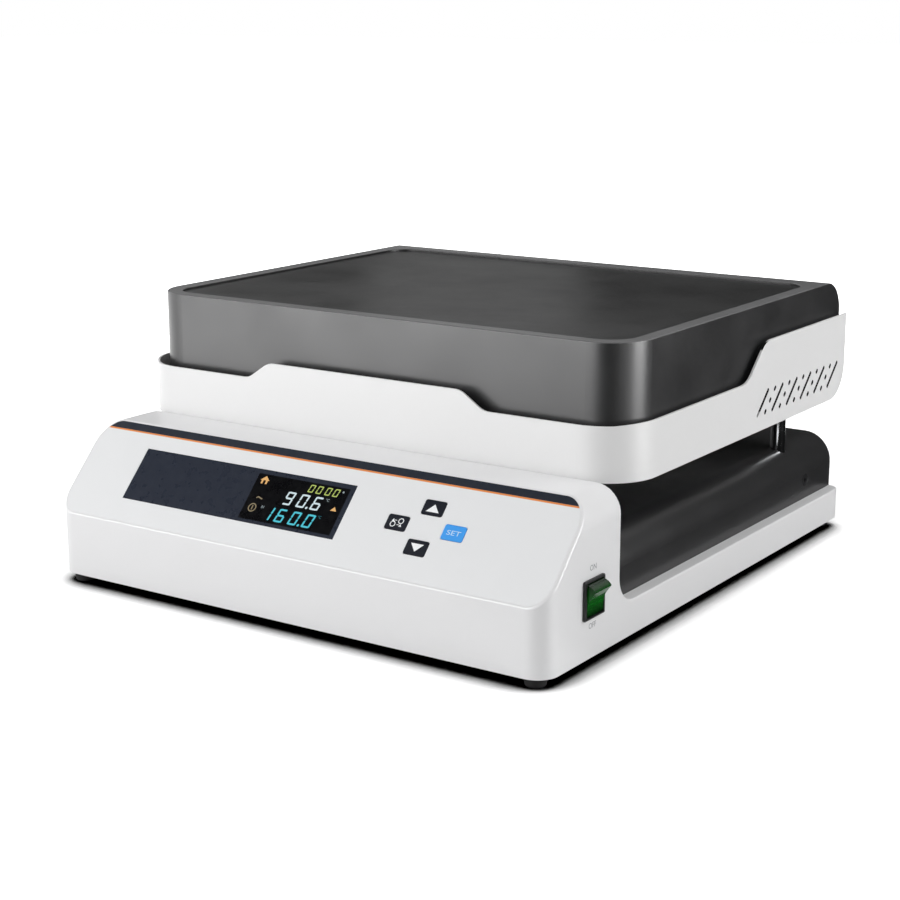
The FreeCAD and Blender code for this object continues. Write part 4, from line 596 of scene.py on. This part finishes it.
def brushed_finish(name, value, roughness, grain):
    """Metal with fine lines. grain says how much finer they are along each axis."""
    finish = Finish(name, metallic=1.0)
    lines = finish.noise(0.35 * MM * max(grain), place=finish.stretched(grain))
    finish.marked(value, 0.08, roughness, 0.08, lines)
    return finish.bumped(lines, depth=0.006 * MM).material


def chrome_finish():
    finish = Finish("chrome", metallic=1.0)
    finish.marked(colours().chrome, 0.02, 0.07, 0.02, finish.noise(6 * MM, detail=2.0))
    return finish.bumped(finish.noise(3 * MM), depth=0.002 * MM, strength=0.3).material


def plated_finish(name, value):
    """Zinc plating with faint patches."""
    finish = Finish(name, metallic=1.0)
    finish.marked(value, 0.12, 0.3, 0.08, finish.noise(3 * MM, detail=4.0))
    return finish.bumped(finish.noise(0.6 * MM), depth=0.01 * MM, strength=0.4).material


def galvanised_finish():
    """Hot-dip sheet with its large crystals."""
    finish = Finish("galvanised_sheet", metallic=1.0)
    crystals = finish.cells(14 * MM)
    finish.coloured(finish.mottled(colours().galvanised, 0.16, finish.remap(crystals, 0.1, 0.7)))
    finish.rough(0.42, 0.1, crystals)
    return finish.bumped(finish.noise(1.2 * MM), depth=0.008 * MM, strength=0.4).material


def sheath_finish():
    """Heating element sheath, browned where it has run hot."""
    finish = Finish("element_sheath", metallic=0.85)
    patches = finish.noise(18 * MM, detail=4.0)
    hot = tuple(channel * share for channel, share in zip(colours().sheath, (1.15, 0.82, 0.62)))
    finish.coloured(finish.mix(finish.remap(patches, 0.35, 0.65), colours().sheath, hot))
    finish.rough(0.42, 0.1, patches)
    return finish.bumped(finish.noise(0.5 * MM), depth=0.01 * MM).material


def fibre_finish():
    """Pressed ceramic fibre, matt and loosely matted."""
    finish = Finish("fibre_board", specular=0.2)
    lie = finish.stretched((1, 0.3, 1))
    fibres = finish.noise(0.8 * MM, detail=6.0, place=lie, roughness=0.7)
    finish.marked(colours().fibre, 0.10, 0.95, 0.04, fibres)
    return finish.bumped(fibres, depth=0.25 * MM, strength=0.8).material


def film_finish():
    """Printed film: pale ground, dark stripe along the top and a thin orange line under it."""
    shades, marks = colours(), sizes()
    corner, _, height = corner_of("panel_overlay")
    stripe_low = corner.dot(PANEL_UP) + height - marks.stripe_height
    edge = 0.08 * MM
    finish = Finish("panel_film", coat=0.2, coat_roughness=0.2)
    up = finish.along(PANEL_UP)
    in_stripe = finish.remap(up, stripe_low - edge, stripe_low + edge)
    in_line = finish.between(up, stripe_low - marks.line_height, stripe_low, edge)
    ground = finish.mottled(shades.film, 0.012, finish.noise(30 * MM))
    stripe = finish.mottled(shades.stripe, 0.05, finish.noise(8 * MM))
    finish.coloured(finish.mix(in_line, finish.mix(in_stripe, ground, stripe), shades.line))
    finish.rough(0.38, 0.04, finish.noise(10 * MM))
    finish.bumped(finish.noise(0.25 * MM, detail=2.0), depth=0.004 * MM, strength=0.4)
    return finish.material


def window_finish():
    """Tinted window: navy print round a black screen, under one glossy face."""
    shades, marks = colours(), sizes()
    low = corner_of("display_window")[0].dot(PANEL_UP)
    edge = 0.12 * MM
    finish = Finish("display_window", specular=0.3, coat=0.4, coat_roughness=0.04)
    in_screen = finish.product(
        finish.between(finish.along(X_AXIS), marks.screen_left, marks.screen_right, edge),
        finish.between(
            finish.along(PANEL_UP), low + marks.screen_low, low + marks.screen_high, edge
        ),
    )
    ground = finish.mottled(shades.window, 0.03, finish.noise(12 * MM, detail=2.0))
    screen = finish.mottled(shades.screen, 0.2, finish.noise(9 * MM, detail=2.0))
    finish.coloured(finish.mix(in_screen, ground, screen))
    finish.rough(0.3, 0.05, finish.noise(6 * MM))
    return finish.material


def lit_finish(name, value, glow):
    """A lit bar or sign of the display, with a light flicker from spot to spot."""
    finish = Finish(name, specular=0.3, coat=0.4, coat_roughness=0.04)
    flicker = finish.noise(0.9 * MM, detail=2.0)
    unlit = tuple(channel * UNLIT_SHARE for channel in value)
    finish.coloured(finish.mottled(unlit, 0.10, flicker))
    finish.fix("Emission Color", finish.mottled(value, 0.10, flicker))
    finish.fix("Emission Strength", glow)
    finish.rough(0.3, 0.05, flicker)
    return finish.material


def printed_finish(name, value):
    """Screen-printed ink with the faint mesh of its screen."""
    finish = Finish(name)
    mesh = finish.cells(0.22 * MM)
    finish.marked(value, 0.05, 0.5, 0.05, mesh)
    return finish.bumped(mesh, depth=0.003 * MM, strength=0.4).material


def rocker_finish():
    """Green polycarbonate, with painted shade that darkens it towards its ends."""
    finish = Finish("green_lens", specular=0.25, coat=0.1, coat_roughness=0.1)
    low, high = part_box("power_rocker")
    middle, reach = (low.z + high.z) / 2, (high.z - low.z) / 2
    # Painted shade: towards both ends the green falls to a small share of itself
    away = finish.maths("ABSOLUTE", finish.maths("SUBTRACT", finish.along(Z_AXIS), middle))
    lit = finish.remap(away, reach * 0.2, reach * 0.95, 1.0, 0.0)
    bright = tuple(min(1.0, channel * 1.1) for channel in colours().rocker)
    dark = tuple(channel * 0.12 for channel in colours().rocker)
    finish.coloured(finish.mix(lit, dark, bright))
    finish.rough(0.22, 0.05, finish.noise(2 * MM))
    return finish.bumped(finish.noise(0.5 * MM), depth=0.004 * MM, strength=0.4).material


def rubber_finish():
    finish = Finish("foot_rubber", specular=0.3)
    finish.marked(colours().rubber, 0.25, 0.78, 0.1, finish.noise(4 * MM, detail=5.0))
    return finish.bumped(finish.noise(0.4 * MM), depth=0.02 * MM, strength=0.6).material


def circuit_finish(name, node, thickness):
    """A board with tracks under its solder mask, and dark components above its thickness."""
    shades = colours()
    finish = Finish(name, coat=0.4, coat_roughness=0.2)
    tracks = finish.remap(finish.cells(3.2 * MM, "DISTANCE_TO_EDGE"), 0.04, 0.09, 1.0, 0.0)
    mask = finish.mottled(shades.circuit, 0.12, finish.noise(9 * MM))
    light = tuple(min(1.0, channel * 1.9) for channel in shades.circuit)
    pads = finish.remap(finish.cells(5 * MM), 0.10, 0.14, 1.0, 0.0)
    board = finish.mix(pads, finish.mix(tracks, mask, light), shades.copper)
    if thickness:
        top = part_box(node)[0].z + thickness
        above = finish.remap(finish.along(Z_AXIS), top + 0.1 * MM, top + 0.3 * MM)
        parts = finish.mottled(shades.plastic, 0.3, finish.cells(16 * MM))
        board = finish.mix(above, board, parts)
    finish.coloured(board)
    finish.rough(0.4, 0.08, finish.noise(3 * MM))
    return finish.bumped(tracks, depth=0.03 * MM).material


def transformer_finish():
    """Varnished laminations."""
    finish = Finish("transformer", metallic=0.3)
    sheets = finish.node("TexWave", bands_direction="Z")
    finish.feed(sheets.inputs["Vector"], finish.place)
    finish.feed(sheets.inputs["Scale"], 1 / (1.6 * MM) / tau)
    lines = sheets.outputs["Fac"]
    finish.coloured(finish.mix(lines, colours().sheets, colours().sheet_edges))
    finish.rough(0.45, 0.08, lines)
    return finish.bumped(lines, depth=0.05 * MM).material


# Lit figures and marks


def flat(sides, radius):
    """A flat plate with even sides, one corner up, its middle at the origin."""
    bpy.ops.object.select_all(action="DESELECT")
    bpy.ops.mesh.primitive_circle_add(vertices=sides, radius=radius, fill_type="NGON")
    return bpy.context.object


def bar(tall, width):
    """One bar of a figure: a six-sided plate stretched upwards, pointed at both ends."""
    radius = width / sqrt(3)
    piece = flat(6, radius)
    for way in (1, -1):
        edit(piece, lambda co: co.y * way > 0)
        bpy.ops.transform.translate(value=(0, way * (tall / 2 - radius), 0))
        stop_editing()
    return thicken(piece)


def disc(radius):
    """A round plate with its upper edge bevelled."""
    piece = thicken(flat(20, radius))
    thickness = sizes().print_height
    edit(piece, lambda co: co.z > thickness / 2)
    bpy.ops.mesh.bevel(offset=thickness * 0.4, segments=1)
    stop_editing()
    return piece


def ring(radius, stroke, sides=32):
    """A flat ring, or one with corners where sides is small."""
    piece = flat(sides, radius)
    edit(piece)
    bpy.ops.mesh.inset(thickness=stroke)
    bpy.ops.mesh.delete(type="FACE")
    stop_editing()
    return thicken(piece)


def triangle(name, width, height):
    """A flat triangle with its point upwards, the middle of its height at the origin."""
    piece = flat(3, 1)
    edit(piece)
    # With corners 1 from its middle, its sides are the root of 3 long and its height is 1.5
    bpy.ops.transform.translate(value=(0, -1 / 4, 0))
    bpy.ops.transform.resize(
        value=(width / sqrt(3), height / 1.5, 1), center_override=(0, 0, 0)
    )
    stop_editing()
    piece.name = name
    return thicken(piece)


def word(name, text, height):
    """Plain raised letters, centred on the origin."""
    bpy.ops.object.select_all(action="DESELECT")
    bpy.ops.object.text_add()
    piece = bpy.context.object
    piece.data.body = text
    piece.data.size = height
    piece.data.extrude = sizes().print_height / 2
    piece.data.align_x = piece.data.align_y = "CENTER"
    piece.data.resolution_u = 4
    select_only(piece)
    bpy.ops.object.convert(target="MESH")
    piece.name = name
    return settle(piece, Matrix.Translation((0, 0, sizes().print_height / 2)))


def figure_number(row):
    """A row of seven-bar figures that ends at its right and stands on its low."""
    height = getattr(sizes(), row.height)
    width, pitch, stroke = row.width * MM, row.pitch * MM, row.stroke * MM
    low, half = row.low * MM, height / 2
    model = bar(half - stroke * BAR_GAP, stroke)
    dot = disc(stroke * DOT_RADIUS)
    pieces = []
    slant = tan(sizes().figure_slant)
    cell_right = row.right * MM - slant * height
    for character in reversed(row.text):
        if character == ".":
            point = copy_of(dot)
            point.location = (cell_right + (pitch - width) / 2, low + stroke * DOT_RISE, 0)
            pieces.append(point)
            continue
        if character == " ":
            cell_right -= pitch * SPACE_PITCH
            continue
        if character == "1":
            cell_right += width * ONE_SHIFT
        left_x = cell_right - width + stroke / 2
        right_x = cell_right - stroke / 2
        middle_x = (left_x + right_x) / 2
        upper_y, lower_y = low + half * 1.5, low + half * 0.5
        bars = {
            "a": (middle_x, low + height - stroke / 2), "g": (middle_x, low + half),
            "d": (middle_x, low + stroke / 2), "b": (right_x, upper_y), "c": (right_x, lower_y),
            "e": (left_x, lower_y), "f": (left_x, upper_y),
        }
        for lit in FIGURE_BARS[character]:
            piece = copy_of(model)
            if lit in LEVEL_BARS:
                piece.rotation_euler = (0, 0, pi / 2)
                piece.scale = (1, (width - stroke) / half, 1)
            piece.location = (*bars[lit], 0)
            pieces.append(piece)
        cell_right -= pitch
    bpy.data.objects.remove(model)
    bpy.data.objects.remove(dot)
    bpy.context.view_layer.update()
    number = settle(join(row.name, pieces), Matrix.Identity(4))
    # The figures lean to the right about their foot, as italic ones do
    number.data.transform(Matrix(
        ((1, slant, 0, -slant * low), (0, 1, 0, 0), (0, 0, 1, 0), (0, 0, 0, 1))
    ))
    return number


def house_sign(width, height):
    """A roof over two walls with a doorway between them."""
    part = height * 0.55
    rise = (height - part) / 2
    roof = triangle("roof", width, part)
    roof.location = (0, rise, 0)
    pieces = [roof]
    for side in (-1, 1):
        bpy.ops.object.select_all(action="DESELECT")
        bpy.ops.mesh.primitive_plane_add(size=1)
        wall = bpy.context.object
        edit(wall)
        bpy.ops.transform.resize(value=(width * 0.2, part, 1))
        bpy.ops.transform.translate(value=(side * width * 0.24, -rise, 0))
        stop_editing()
        pieces.append(thicken(wall))
    return join("sign_house", pieces)


def wave_sign(width, stroke):
    """A short wavy line, drawn as one flat curve."""
    bpy.ops.object.select_all(action="DESELECT")
    bpy.ops.curve.primitive_bezier_curve_add(radius=width / 2)
    piece = bpy.context.object
    bpy.ops.object.mode_set(mode="EDIT")
    bpy.ops.curve.select_all(action="SELECT")
    bpy.ops.transform.resize(value=(1, 1.9, 1), center_override=(0, 0, 0))
    stop_editing()
    piece.data.bevel_depth = stroke / 2
    piece.data.resolution_u = 8
    piece.data.use_fill_caps = True
    select_only(piece)
    bpy.ops.object.convert(target="MESH")
    piece.name = "sign_wave"
    thickness = sizes().print_height
    edit(piece)
    bpy.ops.transform.resize(value=(1, 1, thickness / stroke))
    bpy.ops.transform.translate(value=(0, 0, thickness / 2))
    stop_editing()
    return piece


# Operators, one for each group of pieces


class HOTPLATE_OT_block(bpy.types.Operator):
    """Give the graphite block its machined finish"""

    bl_idname = "hotplate.block"
    bl_label = "Graphite block"

    def execute(self, context):
        dress(graphite_finish(), "graphite_plate")
        return {"FINISHED"}


class HOTPLATE_OT_head(bpy.types.Operator):
    """Finish the shield, the pan and the heating parts under the block"""

    bl_idname = "hotplate.head"
    bl_label = "Head"

    def execute(self, context):
        shades = colours()
        # The shield's vent slot walls take the black plastic colour as painted shade
        shield = enamel_finish(
            "white_enamel", shades.enamel, roughness=0.4, coat=0.12, painted_slot_shade=shades.plastic
        )
        dress(shield, "heat_shield")
        steel = brushed_finish("sheet_steel", shades.steel, roughness=0.34, grain=(12, 1, 1))
        dress(steel, "clamp_plate")
        dress(enamel_finish("pan_enamel", shades.plastic, roughness=0.5), "head_pan")
        dress(fibre_finish(), "insulation_board")
        dress(sheath_finish(), "heater_left", "heater_right", "temperature_probe")
        dress(plated_finish("thermostat_case", shades.aluminium), "overheat_cutout")
        return {"FINISHED"}


class HOTPLATE_OT_housing(bpy.types.Operator):
    """Finish the console, the cover, the base plate and the rear panel"""

    bl_idname = "hotplate.housing"
    bl_label = "Housing"

    def execute(self, context):
        shades = colours()
        housing = enamel_finish("white_housing", shades.housing, roughness=0.4, coat=0.12)
        dress(housing, "console_housing")
        cover = enamel_finish(
            "black_enamel", shades.cover, roughness=0.34, coat=0.2, specular=0.5, peel=0.25
        )
        dress(cover, "rear_cover")
        dress(enamel_finish("black_enamel_matt", shades.cover, roughness=0.45), "rear_panel")
        dress(galvanised_finish(), "base_plate")
        return {"FINISHED"}


class HOTPLATE_OT_hardware(bpy.types.Operator):
    """Finish the pillars, nuts, screws and feet"""

    bl_idname = "hotplate.hardware"
    bl_label = "Pillars, screws and feet"

    def execute(self, context):
        shades = colours()
        corners = ("front_left", "front_right", "rear_left", "rear_right")
        dress(chrome_finish(), *(f"pillar_{corner}" for corner in corners))
        dress(rubber_finish(), *(f"foot_{corner}" for corner in corners))
        zinc = plated_finish("zinc_plate", shades.zinc)
        dress(
            zinc, "shield_screws", "plate_bolts", "head_nuts", "base_nuts", "panel_studs",
            "panel_screws", "base_screws", "foot_screws", "inlet_screws", "board_spacers",
            "board_screws", "earth_stud",
        )
        dress(enamel_finish("black_screw", shades.screen, roughness=0.5), "cover_screws")
        return {"FINISHED"}


class HOTPLATE_OT_electrics(bpy.types.Operator):
    """Finish the switch, the inlet and what stands on the base plate"""

    bl_idname = "hotplate.electrics"
    bl_label = "Electrical parts"

    def execute(self, context):
        shades = colours()
        black = moulded_finish("black_plastic", shades.plastic, roughness=0.38)
        dress(black, "switch_body", "power_inlet", "fuse_holder", "tact_switches", "terminal_block")
        dress(rocker_finish(), "power_rocker")
        sink = brushed_finish("anodised", shades.aluminium, roughness=0.42, grain=(1, 12, 1))
        dress(sink, "heat_sink")
        dress(moulded_finish("relay_case", shades.relay, roughness=0.45), "solid_state_relay")
        dress(transformer_finish(), "transformer")
        dress(circuit_finish("control_circuit", "control_board", BOARD_THICKNESS), "control_board")
        dress(circuit_finish("key_circuit", "key_board", 0), "key_board")
        case = moulded_finish("display_case", shades.screen, roughness=0.3, coat=0.5)
        dress(case, "display_module")
        return {"FINISHED"}


class HOTPLATE_OT_panel(bpy.types.Operator):
    """Print the panel film and the window, and finish the keys"""

    bl_idname = "hotplate.panel"
    bl_label = "Panel"

    def execute(self, context):
        shades = colours()
        dress(film_finish(), "panel_overlay")
        dress(window_finish(), "display_window")
        dark, blue = (
            moulded_finish(name, getattr(shades, name), roughness=0.35, coat=0.3)
            for name in ("key_dark", "key_blue")
        )
        dress(dark, "key_up", "key_down", "key_mode")
        dress(blue, "key_set")
        return {"FINISHED"}


class HOTPLATE_OT_display(bpy.types.Operator):
    """Light the figures and signs of the display"""

    bl_idname = "hotplate.display"
    bl_label = "Lit display"

    def execute(self, context):
        shades = colours()
        corner = corner_of("display_window")[0]
        lay = on_panel(corner - X_AXIS * corner.x)
        for row in ROWS:
            number = settle(figure_number(row), lay)
            lit = lit_finish(f"lit_{row.name}", getattr(shades, row.shade), FIGURE_GLOW)
            finish_piece(number, "base", lit)
        orange = lit_finish("lit_signs", shades.figures_sign, FIGURE_GLOW)
        dim = lit_finish("dim_signs", shades.figures_dim, DIM_GLOW)
        white = lit_finish("lit_marks", shades.figures_measured, MARK_GLOW)
        teal = lit_finish("dim_marks", shades.figures_target, FAINT_GLOW)
        house = house_sign(width=7.6 * MM, height=6.0 * MM)
        wave = wave_sign(width=5.0 * MM, stroke=0.9 * MM)
        clock = join("sign_clock", [ring(3.3 * MM, 0.8 * MM), bar(3.6 * MM, 0.9 * MM)])
        running = triangle("sign_running", width=5.0 * MM, height=3.1 * MM)
        spot = disc(0.75 * MM)
        spot.name = "sign_spot"
        units = [word(name, "°C", 2.9 * MM) for name in ("unit_measured", "unit_target")]
        step = word("sign_step", "01", 2.9 * MM)
        for piece, material in (
            (house, orange), (wave, dim), (clock, dim), (running, orange), (units[0], white),
            (units[1], teal), (spot, white), (step, white),
        ):
            across, up = SIGN_PLACES[piece.name]
            settle(piece, lay @ Matrix.Translation((across * MM, up * MM, 0)))
            finish_piece(piece, "base", material)
        return {"FINISHED"}


class HOTPLATE_OT_key_marks(bpy.types.Operator):
    """Print the marks on the four keys"""

    bl_idname = "hotplate.key_marks"
    bl_label = "Key marks"

    def execute(self, context):
        shades = colours()
        ink = printed_finish("key_ink", shades.key_mark)
        pale = printed_finish("set_ink", shades.set_mark)
        drop = Matrix.Translation((0, -MARK_DROP, 0))
        up = settle(triangle("mark_up", *KEY_ARROW), drop)
        down = settle(triangle("mark_down", *KEY_ARROW), Matrix.Rotation(pi, 4, "Z"))
        pieces = []
        for way in (MM, -MM):
            square = ring(radius=2.2 * MM, stroke=0.6 * MM, sides=8)
            square.rotation_euler = (0, 0, pi / 8)
            square.location = Vector(MODE_SQUARE) * way
            arrow = triangle("arrow", width=2.3 * MM, height=2.0 * MM)
            arrow.location = Vector(MODE_ARROW) * way
            link = bar(1.8 * MM, 0.5 * MM)
            link.rotation_euler = (0, 0, pi / 2)
            link.location = Vector(MODE_LINK) * way
            pieces += [square, arrow, link]
        bpy.context.view_layer.update()
        mode = settle(join("mark_mode", pieces), Matrix.Identity(4))
        letters = word("mark_set", "SET", sizes().set_height)
        settle(letters, drop @ Matrix.Diagonal((SET_STRETCH, 1, 1, 1)))
        for piece in (up, down, mode, letters):
            key = piece.name.replace("mark", "key")
            corner, width, height = corner_of(key)
            middle = corner + X_AXIS * (width / 2) + PANEL_UP * (height / 2)
            settle(piece, on_panel(middle))
            finish_piece(piece, key, pale if key == "key_set" else ink)
        return {"FINISHED"}


class HOTPLATE_OT_switch_marks(bpy.types.Operator):
    """Print ON and OFF beside the power switch"""

    bl_idname = "hotplate.switch_marks"
    bl_label = "Switch lettering"

    def execute(self, context):
        marks = sizes()
        low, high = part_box("switch_body")
        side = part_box("console_housing")[1].x
        ink = printed_finish("side_ink", colours().lettering)
        middle = (low.y + high.y) / 2
        for text, height in (("ON", high.z + marks.on_gap), ("OFF", low.z - marks.off_gap)):
            letters = word(f"lettering_{text.lower()}", text, marks.switch_letter_height)
            settle(letters, on_right_side(Vector((side, middle, height))))
            finish_piece(letters, "base", ink)
        return {"FINISHED"}


class HOTPLATE_OT_stage(bpy.types.Operator):
    """Set the floor, the room, the lamps and the camera"""

    bl_idname = "hotplate.stage"
    bl_label = "Studio"

    def execute(self, context):
        self.floor()
        self.room(context.scene)
        self.lamps()
        self.cards()
        self.camera(context.scene)
        return {"FINISHED"}

    def floor(self):
        bpy.ops.object.select_all(action="DESELECT")
        bpy.ops.mesh.primitive_plane_add(size=FLOOR_SIZE)
        floor = bpy.context.object
        floor.name = "studio_floor"
        finish = Finish("studio_floor", specular=0.0).fix("Roughness", 1.0)
        seen = finish.seen()
        # Close under the base the floor is darkened further, as in a tight contact shadow
        nearness = finish.node("AmbientOcclusion", samples=CONTACT_SAMPLES)
        finish.feed(nearness.inputs["Distance"], CONTACT_REACH)
        contact = finish.remap(nearness.outputs["AO"], CONTACT_DARK, CONTACT_FREE)
        shade = finish.mix(seen, FLOOR_LIT, FLOOR_SEEN)
        finish.coloured(finish.mix(contact, (0.0, 0.0, 0.0), shade))
        # Away from the hot plate, where no lamp reaches, the floor is plain white to the eye
        distance = finish.node("VectorMath", operation="LENGTH")
        finish.feed(distance.inputs[0], finish.place)
        away = finish.remap(distance.outputs["Value"], WHITE_FROM, WHITE_TO)
        finish.fix("Emission Color", WHITE).fix("Emission Strength", finish.product(away, seen))
        floor.data.materials.append(finish.material)

    def room(self, scene):
        world = bpy.data.worlds.new("studio_room")
        scene.world = world
        world.use_nodes = True
        room = Nodes(world.node_tree)
        ground = room.tree.nodes["Background"]
        room.feed(ground.inputs["Color"], WHITE)
        # The room is dim near the floor, so that the shadow under the base stays dark
        place = room.node("TexCoord").outputs["Generated"]
        height = room.component(place, "Z")
        light = room.remap(height, ROOM_LOW, ROOM_HIGH, 0.0, studio().room_light)
        room.feed(ground.inputs["Strength"], room.remap(room.seen(), 0.0, 1.0, light, 1.0))

    def lamps(self):
        for large in LARGE_LAMPS:
            add_lamp(large).visible_glossy = False
        for band in BAND_LAMPS:
            added = add_lamp(band)
            added.visible_diffuse = added.visible_transmission = False

    def cards(self):
        """Black cards and a grey one round the hot plate, which only show in gloss."""
        black = Finish("black_card", specular=0.0).fix("Roughness", 1.0)
        grey = Finish("grey_card").fix("Emission Color", WHITE)
        grey.fix("Emission Strength", GREY_CARD_GLOW)
        for name, place, size, turn in CARDS:
            bpy.ops.object.select_all(action="DESELECT")
            bpy.ops.mesh.primitive_plane_add(
                size=1, location=place, rotation=[radians(part) for part in turn]
            )
            card = bpy.context.object
            card.name = name
            card.scale = (*size, 1)
            finish = grey if name == "grey_card" else black
            card.data.materials.append(finish.fix("Base Color", CARD_SHADE).material)
            card.visible_camera = card.visible_diffuse = False
            card.visible_transmission = card.visible_shadow = False

    def camera(self, scene):
        bpy.ops.object.camera_add(location=studio().camera_place)
        camera = bpy.context.object
        camera.name = "studio_camera"
        camera.data.lens = studio().camera_lens
        camera.data.sensor_width = SENSOR_WIDTH
        camera.rotation_euler = (
            pi / 2 - studio().camera_dip, studio().camera_roll, studio().camera_turn
        )
        scene.camera = camera
        scene.view_settings.view_transform = "Standard"


def add_lamp(lamp):
    """A soft rectangular lamp that looks at its aim, out of the camera's sight."""
    bpy.ops.object.light_add(type="AREA", location=lamp.place)
    made = bpy.context.object
    made.name = lamp.name
    made.data.shape = "RECTANGLE"
    made.data.size = lamp.width
    made.data.size_y = lamp.height
    made.data.energy = getattr(studio(), lamp.power)
    aim = Vector(lamp.aim) - Vector(lamp.place)
    made.rotation_euler = aim.to_track_quat("-Z", "Y").to_euler()
    made.visible_camera = False
    return made


class HOTPLATE_PT_panel(bpy.types.Panel):
    """Lists the steps that finish the hot plate"""

    bl_idname = "HOTPLATE_PT_panel"
    bl_label = "Graphite hot plate"
    bl_space_type = "VIEW_3D"
    bl_region_type = "UI"
    bl_category = "Hot plate"

    def draw(self, context):
        for operator in OPERATORS:
            self.layout.operator(operator.bl_idname)
        for group in (colours(), sizes(), studio()):
            box = self.layout.box()
            for name in group.__annotations__:
                box.prop(group, name)


OPERATORS = (
    HOTPLATE_OT_block, HOTPLATE_OT_head, HOTPLATE_OT_housing, HOTPLATE_OT_hardware,
    HOTPLATE_OT_electrics, HOTPLATE_OT_panel, HOTPLATE_OT_display, HOTPLATE_OT_key_marks,
    HOTPLATE_OT_switch_marks, HOTPLATE_OT_stage,
)
GROUPS = (HotplateColours, HotplateSizes, HotplateStudio)


def register():
    for group in (*GROUPS, *OPERATORS, HOTPLATE_PT_panel):
        bpy.utils.register_class(group)
    bpy.types.Scene.hotplate_colours = PointerProperty(type=HotplateColours)
    bpy.types.Scene.hotplate_sizes = PointerProperty(type=HotplateSizes)
    bpy.types.Scene.hotplate_studio = PointerProperty(type=HotplateStudio)


def unregister():
    del bpy.types.Scene.hotplate_studio
    del bpy.types.Scene.hotplate_sizes
    del bpy.types.Scene.hotplate_colours
    for group in reversed((*GROUPS, *OPERATORS, HOTPLATE_PT_panel)):
        bpy.utils.unregister_class(group)


def main():
    register()
    bpy.ops.hotplate.block()
    bpy.ops.hotplate.head()
    bpy.ops.hotplate.housing()
    bpy.ops.hotplate.hardware()
    bpy.ops.hotplate.electrics()
    bpy.ops.hotplate.panel()
    bpy.ops.hotplate.display()
    bpy.ops.hotplate.key_marks()
    bpy.ops.hotplate.switch_marks()
    bpy.ops.hotplate.stage()


if __name__ == "__main__":
    main()
